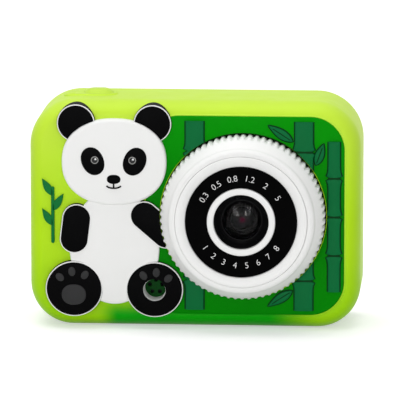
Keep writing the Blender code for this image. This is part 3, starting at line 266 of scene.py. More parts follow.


# the sleeve: painted shade in its deeper low tone, painted light in its paler, yellower top tone
LIME_MAT = lime_silicone("lime_silicone", LIME_SHADE_PAINTED, LIME, (0.55, 0.80, 0.048), 0.0036, 0.0090)
# the rim round the panel: its paler lime is a painted highlight along the edge, with the same painted light
# and shade by height as the sleeve
RIM_HIGHLIGHT_MAT = lime_silicone("lime_rim_painted_highlight", (0.36, 0.70, 0.01), (0.50, 0.84, 0.04), (0.56, 0.86, 0.06), 0.006, 0.02)
# the panel: its green lightens toward the top as painted light from above
GREEN_MAT = toned_silicone("green_silicone", GREEN, 0.04, PANEL_LOW.z, PANEL_HIGH.z,
                           ((0.0, GREEN), (0.5, GREEN_DEEP), (1.0, (0.0, 0.28, 0.0))), 0.25)
# the lip round the ring: lime, turning dark green toward its top as painted shade
LIP_SHADE_MAT = toned_silicone("lime_lip_painted_shade", LIME, 0.08, LENS_Z + 0.0100, LENS_Z + 0.0210,
                         ((0.0, (0.42, 0.72, 0.02)), (1.0, (0.005, 0.06, 0.003))), 0.2)
TEAL_MAT = moulded("cane_teal", TEAL, 0.5, 0.08, gloss=0.08)
SHADE_GROOVE_MAT = moulded("groove_painted_shade", GROOVE, 0.6, 0.1, gloss=0.08)
LEAF_MAT = moulded("sprig_green", (0.0, 0.16, 0.03), 0.5, 0.1, gloss=0.12)
WHITE_SOFT = moulded("white_silicone", WHITE, 0.5, 0.025)
BLACK_SOFT = moulded("black_silicone", BLACK, 0.42, 0.2, gloss=0.015)
PAD_MAT = moulded("pad_grey", (0.035, 0.035, 0.036), 0.5, 0.1, gloss=0.05)
WHITE_HARD = moulded("white_plastic", (0.85, 0.85, 0.84), 0.38, 0.02, 3400.0, 0.00001, 0.15)
BLACK_HARD = moulded("black_plastic", (0.001, 0.001, 0.0011), 0.25, 0.2, 3400.0, 0.00001, 0.012)
BLACK_MATT = moulded("black_lens_well", (0.003, 0.003, 0.0033), 0.3, 0.2, 3000.0, 0.00002, 0.06)
INK = moulded("white_ink", (0.80, 0.80, 0.80), 0.5, 0.04)
BODY_MAT = moulded("body_green", (0.0, 0.055, 0.004), 0.4, 0.1, gloss=0.06)
KEY_MAT = moulded("key_lime", LIME, 0.38, 0.04)
# the shutter cap: paler, yellower lime than the sleeve, painted light from above on the top
SHUTTER_LIT_MAT = moulded("shutter_lime_painted_light", (0.53, 0.75, 0.065), 0.44, 0.04)
GREY_MAT = moulded("grey_plastic", (0.16, 0.17, 0.17), 0.5, 0.08)
SEAM_MAT = moulded("seam_shadow", (0.30, 0.30, 0.29), 0.6, 0.08)
BEAD_MAT = moulded("eye_bead", (0.008, 0.008, 0.009), 0.14, 0.1, 3000.0, 0.00001, 0.3)


def metal(name, colour, roughness, lines):
    made = shader(name, colour, roughness, 1.0)
    mottle(made, colour, 500.0, 0.12)
    return grain(made, lines, 0.15, 0.00001, roughness - 0.06, roughness + 0.1)


STEEL_MAT = metal("plain_steel", (0.56, 0.57, 0.58), 0.3, 5000.0)
FOIL_MAT = metal("battery_foil", (0.60, 0.62, 0.63), 0.38, 900.0)
DARK_STEEL = metal("blackened_steel", (0.010, 0.011, 0.012), 0.5, 4000.0)
GOLD_MAT = metal("contact_gold", (0.72, 0.50, 0.18), 0.3, 5000.0)
BOARD_MAT = moulded("board_green", (0.006, 0.09, 0.03), 0.4, 0.25, 900.0, 0.00002)


def clear(name, tint, roughness, ior):
    made = shader(name, tint, roughness, Transmission_Weight=1.0, IOR=ior, Specular_IOR_Level=0.2)
    mottle(made, tint, 200.0, 0.03)
    return made


GLASS_MAT = clear("lens_glass", (0.93, 0.93, 0.96), 0.004, 1.15)


def coated():
    """An inner lens element: dark, with a painted magenta reflection of its coating, strongest in its middle.
    """
    made = shader("element_painted_reflection", (0.02, 0.0, 0.01), 0.06, Specular_IOR_Level=0.04)
    here = add(made, "ShaderNodeCombineXYZ")
    join(made, axis_of(made, "X"), here.inputs["X"])
    join(made, axis_of(made, "Z"), here.inputs["Y"])
    gap = add(made, "ShaderNodeVectorMath", operation='DISTANCE')
    join(made, here.outputs["Vector"], gap.inputs[0])
    gap.inputs[1].default_value = (LENS_X + 0.0001, LENS_Z - 0.0002, 0.0)
    # painted reflection: magenta in the middle, fading to near black outwards
    tone = ramp_of(made, gap.outputs["Value"], 0.0, 0.0030,
                   ((0.0, (0.065, 0.0, 0.012)), (0.16, (0.045, 0.0, 0.008)), (0.34, (0.003, 0.002, 0.003)),
                    (1.0, (0.002, 0.003, 0.003))))
    mottle(made, tone, 300.0, 0.1)
    return made


COATED_REFLECTION_MAT = coated()


def screen_glass():
    """A dark display behind clear acrylic."""
    made = shader("screen_acrylic", (0.01, 0.01, 0.012), 0.07, Specular_IOR_Level=0.3)
    mottle(made, (0.011, 0.012, 0.014), 120.0, 0.25)
    return grain(made, 4000.0, 0.04, 0.000005, 0.05, 0.09)


SCREEN_MAT = screen_glass()


# Mesh tools

def finish_mesh(obj, angle=34):
    """Round sides shade smooth and true edges stay sharp."""
    obj.data.shade_smooth()
    obj.data.set_sharp_from_angle(angle=math.radians(angle))
    return obj


def solid(name, bm, mat):
    bmesh.ops.recalc_face_normals(bm, faces=bm.faces)
    if bm.calc_volume(signed=True) < 0:
        bmesh.ops.reverse_faces(bm, faces=bm.faces)
    mesh = bpy.data.meshes.new(name)
    bm.to_mesh(mesh)
    bm.free()
    obj = bpy.data.objects.new(name, mesh)
    if mat:
        mesh.materials.append(mat)
    bpy.context.scene.collection.objects.link(obj)
    return finish_mesh(obj)


def front_plane(level, a, b):
    return (a, level, b)


def level_plane(level, a, b):
    return (a, b, level)


def bridge(bm, rings, closed=False):
    """Faces from ring to ring, where a ring may be one point, and caps on open ends."""
    steps = max(map(len, rings))
    for first, second in zip(rings, rings[1:] + (rings[:1] if closed else [])):
        for i in range(steps):
            pairs = ((first, i), (first, i + 1), (second, i + 1), (second, i))
            face = list(dict.fromkeys(ring[k % len(ring)] for ring, k in pairs))
            if len(face) > 2:
                bm.faces.new(face)
    if not closed:
        for ring in (rings[0], rings[-1]):
            if len(ring) > 1:
                bm.faces.new(ring)


def loft(name, sections, mat=None, plane=front_plane):
    """A body through outlines of equal count, closed at its ends."""
    bm = bmesh.new()
    bridge(bm, [[bm.verts.new(plane(level, a, b)) for a, b in outline] for level, outline in sections])
    return solid(name, bm, mat)


def prism(name, outline, start, end, mat=None, plane=front_plane):
    return loft(name, [(start, outline), (end, outline)], mat, plane)


def circle(steps):
    """Cosine and sine at even steps round a turn."""
    return [(math.cos(a), math.sin(a)) for a in [2 * math.pi * i / steps for i in range(steps)]]


def turned(name, profile, mat=None, steps=128, centre=None, closed=True):
    """Turn (radius, depth) points about an axis along Y."""
    x, z = centre or (LENS_X, LENS_Z)
    bm = bmesh.new()
    rings = []
    for radius, depth in profile:
        spots = circle(steps) if radius > 1e-9 else [(0.0, 0.0)]
        rings.append([bm.verts.new((x + radius * c, depth, z + radius * s)) for c, s in spots])
    bridge(bm, rings, closed)
    return solid(name, bm, mat)


def quarter(steps, start=0):
    """Sine and cosine at even steps through a quarter turn."""
    turns = [math.pi / 2 * i / steps for i in range(start, steps + 1)]
    return [(math.sin(a), math.cos(a)) for a in turns]


def arc(cx, cy, radius, start, end, steps):
    """Points of an arc, in degrees."""
    angles = [math.radians(start + (end - start) * i / steps) for i in range(steps + 1)]
    return [(cx + radius * math.cos(a), cy + radius * math.sin(a)) for a in angles]


def rounded_rect(width, height, radius, centre=(0.0, 0.0), steps=14, along=1, low_radius=None):
    """Outline of a rectangle with round corners and some points along its straights."""
    points = []
    for side, end, start in ((1, 1, 0), (-1, 1, 90), (-1, -1, 180), (1, -1, 270)):
        own = radius if end > 0 or low_radius is None else low_radius
        own = min(own, width / 2, height / 2)
        x = centre[0] + side * (width / 2 - own)
        z = centre[1] + end * (height / 2 - own)
        points += arc(x, z, own, start, start + 90, steps)
    kept = [p for i, p in enumerate(points) if math.dist(p, points[i - 1]) > 1e-6]
    if along == 1:
        return kept
    full = []
    for i, p in enumerate(kept):
        q = kept[(i + 1) % len(kept)]
        parts = along if math.dist(p, q) > width / 8 else 1
        full += [(p[0] + (q[0] - p[0]) * k / parts, p[1] + (q[1] - p[1]) * k / parts) for k in range(parts)]
    return full


def oval(centre, half_width, half_height, tilt=0.0, fullness=2.0, steps=72):
    points = []
    for c, s in circle(steps):
        x = half_width * math.copysign(abs(c) ** (2 / fullness), c)
        z = half_height * math.copysign(abs(s) ** (2 / fullness), s)
        points.append((centre[0] + x * math.cos(tilt) - z * math.sin(tilt),
                       centre[1] + x * math.sin(tilt) + z * math.cos(tilt)))
    return points


def limb(start, end, radius, steps=28):
    heading = math.degrees(math.atan2(end[1] - start[1], end[0] - start[0]))
    far = arc(*end, radius, heading - 90, heading + 90, steps)
    return far + arc(*start, radius, heading + 90, heading + 270, steps)


def leaf(root, heading, length, width, steps=18):
    along = Vector((math.cos(heading), math.sin(heading)))
    aside = Vector((-along.y, along.x))
    right, left = [], []
    for i in range(1, steps):
        share = i / steps
        reach = width / 2 * math.sin(math.pi * share ** 0.8)
        spine = Vector(root) + along * length * share
        right.append(spine - aside * reach)
        left.append(spine + aside * reach)
    points = [Vector(root)] + right + [Vector(root) + along * length] + left[::-1]
    return [(p.x, p.y) for p in points]


def grow(outline, distance):
    """Move each point of an outline outwards."""
    count = len(outline)
    area = sum(outline[i - 1][0] * outline[i][1] - outline[i][0] * outline[i - 1][1] for i in range(count))
    side = 1 if area > 0 else -1
    grown = []
    for i in range(count):
        before = Vector(outline[i]) - Vector(outline[i - 1])
        after = Vector(outline[(i + 1) % count]) - Vector(outline[i])
        normal = Vector((before.y, -before.x)).normalized() + Vector((after.y, -after.x)).normalized()
        normal.normalize()
        grown.append((outline[i][0] + side * distance * normal.x, outline[i][1] + side * distance * normal.y))
    return grown


def pad(name, outline, front, back, edge, mat, crown=0.0, steps=6, rings=7, plane=front_plane):
    """A plate with a rounded front rim and a slightly crowned face."""
    cx = sum(p[0] for p in outline) / len(outline)
    cz = sum(p[1] for p in outline) / len(outline)
    inner = grow(outline, -edge)
    sign = 1 if back > front else -1
    sections = []
    for i in range(rings):
        share = (i + 0.5) / rings
        ring = [(cx + (a - cx) * share, cz + (b - cz) * share) for a, b in inner]
        sections.append((front - sign * crown * (1 - share ** 2), ring))
    for s, c in quarter(steps):
        sections.append((front + sign * edge * (1 - c), grow(outline, -edge * (1 - s))))
    sections.append((back, outline))
    return loft(name, sections, mat, plane)


def shape_with(target, tools, operation='DIFFERENCE', angle=34):
    """Apply exact Booleans and shade the result."""
    for tool in tools:
        modifier = target.modifiers.new(tool.name, 'BOOLEAN')
        modifier.operation = operation
        modifier.solver = 'EXACT'
        modifier.object = tool
    bpy.context.view_layer.update()
    result = bpy.data.meshes.new_from_object(target.evaluated_get(bpy.context.evaluated_depsgraph_get()))
    target.modifiers.clear()
    target.data = result
    return finish_mesh(target, angle)


def drop(*tools):
    for tool in tools:
        bpy.data.objects.remove(tool, do_unlink=True)


def tube(name, points, radius, mat, closed=False, sides=8):
    """A round bead along points."""
    count = len(points)
    bm = bmesh.new()
    rings = []
    for i, p in enumerate(points):
        ahead = Vector(points[(i + 1) % count] if closed or i < count - 1 else p)
        behind = Vector(points[i - 1] if closed or i else p)
        way = (ahead - behind).normalized()
        out = Vector((0.0, -1.0, 0.0))
        aside = way.cross(out).normalized()
        rings.append([bm.verts.new(Vector(p) + radius * (c * aside + s * out)) for c, s in circle(sides)])
    bridge(bm, rings, closed)
    return solid(name, bm, mat)


def set_piece(piece, slot, *nodes, body=ROOT):
    """Let a piece ride on its body and hide the nodes it stands for; the finish it is given is not used."""
    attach(piece, body)
    if nodes:
        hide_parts(*nodes)
    return piece


def cylinder(name, radius, front, back, centre, steps=96):
    return turned(name, [(radius, front), (radius, back)], steps=steps, centre=centre, closed=False)


# Camera, light and floor

def seen_rays(made):
    """One for rays that see the backdrop: from the camera, in gloss and through glass."""
    path = add(made, "ShaderNodeLightPath")
    last = path.outputs["Is Camera Ray"]
    for name in ("Is Glossy Ray", "Is Transmission Ray"):
        either = add(made, "ShaderNodeMath", operation='MAXIMUM')
        join(made, last, either.inputs[0])
        join(made, path.outputs[name], either.inputs[1])
        last = either.outputs[0]
    return last


def make_stage():
    scene = bpy.context.scene
    scene.view_settings.view_transform = 'Standard'
    yaw, rise, away = math.radians(3.90), math.radians(9.94), 1.3563
    target = Vector((0.00113, 0.0, 0.03493))
    heading = Vector((math.sin(yaw) * math.cos(rise), -math.cos(yaw) * math.cos(rise), math.sin(rise)))
    data = bpy.data.cameras.new("view_camera")
    focal_pixels, photo_pixels = 4875.0, 400
    data.sensor_width = 36.0
    data.lens = data.sensor_width * focal_pixels / photo_pixels
    data.clip_start = 0.05
    camera = bpy.data.objects.new("view_camera", data)
    camera.location = target + heading * away
    camera.rotation_euler = (-heading).to_track_quat('-Z', 'Y').to_euler()
    scene.collection.objects.link(camera)
    scene.camera = camera

    world = bpy.data.worlds.new("studio")
    scene.world = world
    world.use_nodes = True
    back = world.node_tree.nodes["Background"].inputs
    back["Color"].default_value = (1.0, 1.0, 1.0, 1.0)
    join(world, spread_of(world, seen_rays(world), 0.0, 1.0, 0.5, 1.0), back["Strength"])

    def lamp(name, place, size, power, size_y=None):
        light = bpy.data.lights.new(name, 'AREA')
        light.energy = power
        light.size = size
        if size_y:
            light.shape = 'RECTANGLE'
            light.size_y = size_y
        obj = bpy.data.objects.new(name, light)
        obj.location = place
        obj.rotation_euler = (Vector((0.0, 0.0, 0.03)) - Vector(place)).to_track_quat('-Z', 'Y').to_euler()
        obj.visible_camera = False
        scene.collection.objects.link(obj)

    lamp("top_softbox", (-0.12, 0.07, 0.95), 0.9, 5.7)
    lamp("left_window", (-0.26, -1.00, 0.16), 0.13, 1.75, 0.22)
    lamp("right_window", (0.19, -1.03, 0.15), 0.13, 1.75, 0.22)

    bm = bmesh.new()
    bmesh.ops.create_grid(bm, x_segments=1, y_segments=1, size=4.0)
    made = shader("pale_floor", (0.72, 0.72, 0.72), 0.7, Emission_Color=(1.0, 1.0, 1.0, 1.0))
    glow = spread_of(made, seen_rays(made), 0.0, 1.0, 0.0, 0.46)
    join(made, glow, surface_of(made)["Emission Strength"])
    floor = solid("floor", bm, made)


# The sleeve and its panel

def case_outline(inset):
    return rounded_rect(WIDTH - 2 * inset, HEIGHT - 2 * inset, CORNER - inset, (0.0, HEIGHT / 2), 20, 6,
                        LOW_CORNER - inset)


def case_sections(extra=0.0):
    sections = []
    for s, c in quarter(18):
        inset = SHOULDER_INSET * (1 - s) - extra
        sections.append((CASE_FRONT - extra + SHOULDER_DEPTH * (1 - c), case_outline(inset)))
    for s, c in quarter(12):
        inset = BACK_ROUND * (1 - c) - extra
        sections.append((CASE_BACK + extra - BACK_ROUND * (1 - s), case_outline(inset)))
    return sections


def body_outline(extra):
    return rounded_rect(BODY_WIDTH + 2 * extra, BODY_HEIGHT + 2 * extra, CORNER - END_WALL + extra,
                        (0.0, HEIGHT / 2), 16)


def shutter_place():
    low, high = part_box("shutter_button")
    return *level_centre(low, high), high.x - low.x - 0.0014, high.y - low.y - 0.0014


def socket_bay():
    """The bay's outline in the underside, round the two sockets."""
    usb_low, usb_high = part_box("usb_socket")
    card_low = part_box("card_socket")[0]
    left, right = card_low.x - 0.0030, usb_high.x + 0.0030
    depth = usb_high.y - usb_low.y + 2 * 0.0030 - 0.0003
    middle = ((left + right) / 2, (usb_low.y + usb_high.y) / 2)
    return rounded_rect(right - left, depth, depth / 2, middle, 20)


def make_case():
    case = loft("sleeve", case_sections(), LIME_MAT)
    x, y, length, wide = shutter_place()
    hole = rounded_rect(length + 0.0005, wide + 0.0005, wide, (x, y), 20)
    opening = prism("shutter_way", hole, HEIGHT - END_WALL - 0.0003, HEIGHT + END_WALL, plane=level_plane)
    lip = [(BODY_BACK - 0.0003, body_outline(-LIP_COVER)), (CASE_BACK - 0.0009, body_outline(-LIP_COVER)),
           (CASE_BACK - 0.0003, body_outline(-LIP_COVER + 0.0003)),
           (CASE_BACK + 0.0003, body_outline(-LIP_COVER + 0.0011))]
    tools = [prism("pocket", body_outline(SEAT_GAP), BODY_FRONT - SEAT_GAP, BODY_BACK + SEAT_GAP),
             loft("window", lip),
             cylinder("ring_way", RING_HOLE, FRONT, BODY_FRONT + 0.0003, (LENS_X, LENS_Z), 160),
             cylinder("port_way", PORT_RADIUS, FRONT, BODY_FRONT + 0.0003, (PORT_X, FOOT_Z)),
             opening,
             prism("bay_way", socket_bay(), -END_WALL, END_WALL + 0.0003, plane=level_plane)]
    shape_with(case, tools)
    set_piece(case, "lime_silicone", "silicone_case")

    left, right = CASE_LOW.x + 0.0094, x + length / 2 + 0.0011
    surround = rounded_rect(right - left, wide + 0.0022, wide, ((left + right) / 2, y), 20)
    flare = ((-0.0040, 0.0012), (-0.0002, 0.0007), (0.0006, -0.0004))
    sections = [(HEIGHT + rise, grow(surround, out)) for rise, out in flare]
    collar = loft("shutter_collar", sections, LIME_MAT, level_plane)
    form = loft("collar_form", case_sections(0.00040))
    shape_with(collar, [form], 'INTERSECT')
    shape_with(collar, [opening])
    drop(form, *tools)
    set_piece(collar, "lime_silicone")


def panel_outline(inset):
    width = PANEL_HIGH.x - PANEL_LOW.x - 2 * inset
    height = PANEL_HIGH.z - PANEL_LOW.z - 2 * inset
    return rounded_rect(width, height, PANEL_CORNER - inset, centre_of(PANEL_LOW, PANEL_HIGH), 20)


def make_panel():
    edge = 0.0004
    panel = pad("panel", panel_outline(0.0), PANEL_FRONT, CASE_FRONT + 0.0002, edge, GREEN_MAT, rings=1)
    way = cylinder("panel_way", LIP_OUTSIDE, FRONT, BODY_FRONT, (LENS_X, LENS_Z), 160)
    port = cylinder("panel_port", PORT_RADIUS, FRONT, BODY_FRONT, (PORT_X, FOOT_Z))
    shape_with(panel, [way, port])
    set_piece(panel, "green_silicone", "lens_panel")
    # a real bead round the panel, in a paler lime that paints the highlight on its edge
    line = [(a, CASE_FRONT - 0.0001, b) for a, b in grow(panel_outline(0.0), 0.00022)]
    rim = tube("panel_rim", line, 0.00026, RIM_HIGHLIGHT_MAT, closed=True)
    shape_with(rim, [way, port])
    drop(port)
    set_piece(rim, "lime_silicone")
    # the lip's top is darkened by painted shade in its material
    profile = [(LIP_INSIDE, BODY_FRONT - 0.0003), (LIP_INSIDE, PANEL_FRONT),
               (LIP_INSIDE + 0.00006, PANEL_FRONT - 0.0001), (LIP_OUTSIDE - 0.00004, PANEL_FRONT - 0.0001),
               (LIP_OUTSIDE + 0.00002, PANEL_FRONT + 0.00004), (LIP_OUTSIDE + 0.00002, BODY_FRONT - 0.0003)]
    set_piece(turned("ring_lip", profile, LIP_SHADE_MAT, 160), "lime_silicone")
    return way


def cane_rows(low, high, width, flare=0.0005, neck=0.0006, segment=0.0105):
    """Half widths up a cane with swollen joints, and the heights of the joints."""
    count = max(1, round((high - low) / segment))
    step = (high - low) / count
    rows = []
    for i in range(count):
        start = low + i * step
        if i:
            rows.append((start, width / 2 - flare))
        for k in range(11):
            share = k / 10
            swell = flare * abs(2 * share - 1) ** 5
            if (share < 0.5 and not i) or (share > 0.5 and i == count - 1):
                swell = 0.0
            rows.append((start + neck + (step - 2 * neck) * share, width / 2 + swell))
    return rows, [low + i * step for i in range(1, count)]


def strip(name, x, rows, front, back, edge, mat, crown=0.0):
    """An upright strip of changing width with rounded front edges and a crowned face."""
    sections = []
    for z, half in rows:
        rim = [(half - edge * (1 - s), front + edge * (1 - c)) for s, c in quarter(4)]
        face = [(x + (half - edge) * k / 4, front - crown * (1 - (k / 4) ** 2)) for k in range(-3, 4)]
        section = [(x - half, back)] + [(x - w, y) for w, y in rim[::-1]] + face
        section += [(x + w, y) for w, y in rim] + [(x + half, back)]
        sections.append((z, section))
    return loft(name, sections, mat, level_plane)


def groove_of(name, outline, slot, way):
    """A dark sheet round a raised figure: painted shade for the groove about it."""
    wide = grow(outline, GROOVE_WIDTH)
    sections = [(PANEL_FRONT - GROOVE_RISE, grow(outline, GROOVE_WIDTH - 0.0001)),
                (PANEL_FRONT - 0.00006, wide), (PANEL_FRONT + 0.0002, wide)]
    groove = loft(f"{name}_groove", sections, SHADE_GROOVE_MAT)
    shape_with(groove, [way])
    return set_piece(groove, slot)


def make_canes(way):
    margin = 0.0007
    low, high = PANEL_LOW.z + margin, PANEL_HIGH.z - margin
    slim_low, slim_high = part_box("cane_slim")
    slim_x, wide_x, left_x = [centre_of(*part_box(f"cane_{name}"))[0]
                              for name in ("slim", "wide_top", "left_top")]
    canes = (("cane_slim", slim_x, slim_low.z, slim_high.z, 0.0032),
             ("cane_wide_top", wide_x, LENS_Z, high, CANE_WIDTH),
             ("cane_wide_bottom", wide_x, low, LENS_Z, CANE_WIDTH),
             ("cane_left_top", left_x, LENS_Z, high, CANE_WIDTH),
             ("cane_left_bottom", left_x, low, LENS_Z, CANE_WIDTH))
    back = PANEL_FRONT + 0.0002
    for name, x, bottom, top, width in canes:
        rows, knots = cane_rows(bottom, top, width)
        # each cane gets a dark sheet round it and dark bars at its joints: painted shade for the grooves
        groove = strip(f"{name}_groove", x, [(z, half + GROOVE_WIDTH) for z, half in rows],
                       PANEL_FRONT - GROOVE_RISE, back, 0.0001, SHADE_GROOVE_MAT)
        cane = strip(f"{name}_inlay", x, rows, PANEL_FRONT - INLAY_RISE, back, 0.0003, TEAL_MAT, 0.0002)
        for piece in (groove, cane):
            shape_with(piece, [way])
        set_piece(groove, "cane_green")
        set_piece(cane, "cane_green", name)
        for k, z in enumerate(knots):
            if math.dist((x, z), (LENS_X, LENS_Z)) < RING_HOLE:
                continue
            bar = limb((x - width / 2 + 0.0002, z), (x + width / 2 - 0.0002, z), 0.00028, 8)
            sections = [(PANEL_FRONT - 0.00082, grow(bar, -0.00008)), (PANEL_FRONT - 0.00078, bar),
                        (PANEL_FRONT - 0.0003, bar)]
            knot = loft(f"{name}_knot_{k}", sections, SHADE_GROOVE_MAT)
            shape_with(knot, [way])
            set_piece(knot, "cane_green")
    reach = RING_HOLE + 0.0016
    angle = math.radians(57)
    leaf_x, leaf_rise = LENS_X + reach * math.cos(angle), reach * math.sin(angle)
    leaves = (("leaf_top", (leaf_x, LENS_Z + leaf_rise), angle + math.pi / 2, 0.0080),
              ("leaf_bottom", (leaf_x, LENS_Z - leaf_rise), -angle - math.pi / 2, 0.0080),
              ("leaf_side", (wide_x + 0.0033, high - 0.0125), math.radians(70), 0.0062))
    for name, root, heading, length in leaves:
        outline = leaf(root, heading, length, 0.0024)
        groove_of(name, outline, "cane_green", way)
        blade = pad(f"{name}_inlay", outline, PANEL_FRONT - INLAY_RISE, back, 0.00018, TEAL_MAT, rings=1,
                    steps=4)
        shape_with(blade, [way])
        set_piece(blade, "cane_green", name)
        # a dark vein line on each leaf: painted shade
        tip = Vector(root) + length * 0.82 * Vector((math.cos(heading), math.sin(heading)))
        line = [(root[0] + (tip.x - root[0]) * s, PANEL_FRONT - 0.00058, root[1] + (tip.y - root[1]) * s)
                for s in (0.12, 0.4, 0.7, 1.0)]
        set_piece(tube(f"{name}_vein", line, 0.00013, SHADE_GROOVE_MAT), "cane_green")


def make_sprig():
    x = CASE_LOW.x + 0.0068
    start = HEIGHT / 2 - 0.0075
    front = CASE_FRONT - 0.00065
    stem = pad("sprig_stem", limb((x, start), (x, start + 0.0150), 0.00045, 8), front, CASE_FRONT + 0.0002,
               0.00015, LEAF_MAT, rings=1, steps=3)
    set_piece(stem, "green_silicone", "leaf_sprig")
    for i in range(3):
        heading = math.pi / 2 + math.radians(32) * (-1) ** i
        root = (x, start + 0.0045 + 0.0042 * i)
        blade = pad(f"sprig_leaf_{i}", leaf(root, heading, 0.0056, 0.0021), front, CASE_FRONT + 0.0002,
                    0.00018, LEAF_MAT, rings=1, steps=3)
        set_piece(blade, "green_silicone")


# The bear in relief

def make_bear(way):
    x, head_z = CASE_LOW.x + 0.0240, 0.0470
    torso_z = head_z - HEAD_SIZE[1] - TORSO_SIZE[1] + 0.0040
    shoulder = torso_z + 0.0080
    side_x = x - TORSO_SIZE[0]
    room = LENS_X - RING_HOLE
    root = CASE_FRONT + SHOULDER_DEPTH
    head = oval((x, head_z), *HEAD_SIZE, fullness=2.25, steps=120)
    left_arm = limb((side_x + 0.00205, shoulder), (side_x + 0.00137, shoulder - 0.0057), LIMB_RADIUS)
    right_arm = limb((x + TORSO_SIZE[0] - LIMB_RADIUS, shoulder + 0.00102),
                     (room + 0.00205, shoulder - LIMB_RADIUS), LIMB_RADIUS)
    # outline, how far it stands out, and whether it is white
    outlines = {
        "bear_torso": (oval((x, torso_z), *TORSO_SIZE, steps=120), 0.0016, True),
        "bear_ear_left": (oval((x - EAR_ASIDE, head_z + EAR_ABOVE), EAR_RADIUS, EAR_RADIUS), 0.0021, False),
        "bear_ear_right": (oval((x + EAR_ASIDE, head_z + EAR_ABOVE), EAR_RADIUS, EAR_RADIUS), 0.0021, False),
        "bear_arm_left": (left_arm, 0.0023, False),
        "bear_arm_right": (right_arm, 0.0023, False),
        "bear_foot_left": (oval((x - FOOT_ASIDE, FOOT_Z), *FOOT_SIZE, steps=96), FOOT_RISE, False),
        "bear_foot_right": (oval((x + FOOT_ASIDE, FOOT_Z), *FOOT_SIZE, steps=96), FOOT_RISE, False),
    }
    head_room = prism("head_room", grow(head, 0.00005), FRONT, root + 0.001)
    port = cylinder("foot_port", PORT_RADIUS, FRONT, root + 0.001, (PORT_X, FOOT_Z))
    bed = loft("bed", case_sections(-0.0002))
    piece = pad("bear_head_relief", head, CASE_FRONT - HEAD_RISE, root, 0.0009, WHITE_SOFT, crown=0.0005,
                rings=10)
    shape_with(piece, [way, bed])
    set_piece(piece, "white_silicone", "bear_head")
    for name, (outline, rise, white) in outlines.items():
        tools = [way, port]
        if "foot" not in name:
            tools.append(head_room)
        base_rise = rise if white else rise - 0.0006
        soft, crown = (WHITE_SOFT, 0.0004) if white else (BLACK_SOFT, 0.0)
        base = pad(f"{name}_base", outline, CASE_FRONT - base_rise, root, 0.0005, soft, crown)
        shape_with(base, tools + [bed])
        set_piece(base, "white_silicone" if white else "black_silicone", name)
        if not white:
            line = pad(f"{name}_line", grow(outline, -0.00008), CASE_FRONT - base_rise - 0.0001,
                       CASE_FRONT - base_rise + 0.0004, 0.0001, WHITE_SOFT, rings=2, steps=3)
            shape_with(line, tools)
            set_piece(line, "white_silicone")
            skin = pad(f"{name}_skin", grow(outline, -0.00036), CASE_FRONT - rise, CASE_FRONT - rise + 0.0008,
                       0.0005, BLACK_SOFT, crown=0.00035)
            shape_with(skin, tools)
            set_piece(skin, "black_silicone")
    drop(head_room, port, bed)

    face = CASE_FRONT - HEAD_RISE

    def bead(name, profile, mat, centre, slot, closed=False, steps=48):
        """A small turned piece from its radius and how far it stands out of the face."""
        points = [(radius, face - out) for radius, out in profile]
        set_piece(turned(name, points, mat, steps, centre, closed), slot)

    for label, side in (("left", -1), ("right", 1)):
        centre = (x + side * 0.0058, head_z + 0.0004)
        outline = oval(centre, 0.0031, 0.0040, -side * math.radians(24), 2.1)
        patch = pad(f"eye_patch_{label}", outline, face - 0.00065, face + 0.0002, 0.0003, BLACK_SOFT, 0.0002,
                    rings=5)
        set_piece(patch, "black_silicone", f"bear_eye_patch_{label}")
        eye = (centre[0] - side * 0.0006, centre[1] + 0.0004)
        glint = (eye[0] + 0.00022, eye[1] + 0.00030)
        bead(f"eye_ring_{label}", [(0.00098, 0.0008), (0.00105, 0.00095), (0.00085, 0.00105),
                                   (0.00078, 0.0009)], SEAM_MAT, eye, "black_silicone", True)
        bead(f"eye_bead_{label}", [(0.0008, 0.0007), (0.0008, 0.00092), (0.00055, 0.00110),
                                   (0.00025, 0.00118), (0.0, 0.0012)], BEAD_MAT, eye, "black_silicone")
        bead(f"eye_glint_{label}", [(0.00027, 0.0009), (0.00027, 0.00118), (0.00016, 0.00125),
                                    (0.0, 0.00127)], INK, glint, "white_silicone", steps=24)
    nose_z = head_z - 0.0046
    nose = pad("nose", oval((x, nose_z), 0.0019, 0.0013, fullness=2.3), face - 0.0007, face + 0.0002, 0.0004,
               BLACK_SOFT, crown=0.0003, rings=5)
    set_piece(nose, "black_silicone", "bear_nose")
    line = face - 0.00048
    chin = nose_z - 0.0025
    stroke = [(x, line, z) for z in (nose_z - 0.0010, nose_z - 0.0017, chin)]
    set_piece(tube("mouth_line", stroke, 0.00022, BLACK_SOFT), "black_silicone")
    smile = [(x + 0.0020 * math.sin(a), line + 0.00005, chin + 0.0008 - 0.0008 * math.cos(a))
             for a in [math.radians(-80 + 10 * i) for i in range(17)]]
    set_piece(tube("mouth_curve", smile, 0.00022, BLACK_SOFT), "black_silicone")

    sole = CASE_FRONT - FOOT_RISE - 0.0002
    for label, side in (("left", -1), ("right", 1)):
        centre = (x + side * FOOT_ASIDE, FOOT_Z)
        for k, angle in enumerate((48, 90, 132)):
            a = math.radians(angle - side * 6)
            spot = (centre[0] + 0.0052 * math.cos(a), centre[1] + 0.0050 * math.sin(a))
            toe = pad(f"toe_{label}_{k}", oval(spot, 0.0010, 0.0013, tilt=a - math.pi / 2, steps=40),
                      sole - 0.0003, sole + 0.0003, 0.00025, PAD_MAT, crown=0.0001, rings=3, steps=4)
            set_piece(toe, "black_silicone")
    heel = pad("sole_left", oval((x - FOOT_ASIDE, 0.0098), 0.0034, 0.0029, fullness=2.2), sole - 0.0004,
               sole + 0.0003, 0.0003, PAD_MAT, crown=0.0002, rings=4, steps=4)
    set_piece(heel, "black_silicone")
    bore, start, end = PORT_RADIUS - 0.00012, CASE_FRONT - 0.0021, BODY_FRONT - 0.0001
    liner = [(PORT_RADIUS, start), (bore, start), (bore, end), (PORT_RADIUS, end)]
    set_piece(turned("port_liner", liner, WHITE_SOFT, 96, (PORT_X, FOOT_Z)), "white_silicone")


# The lens

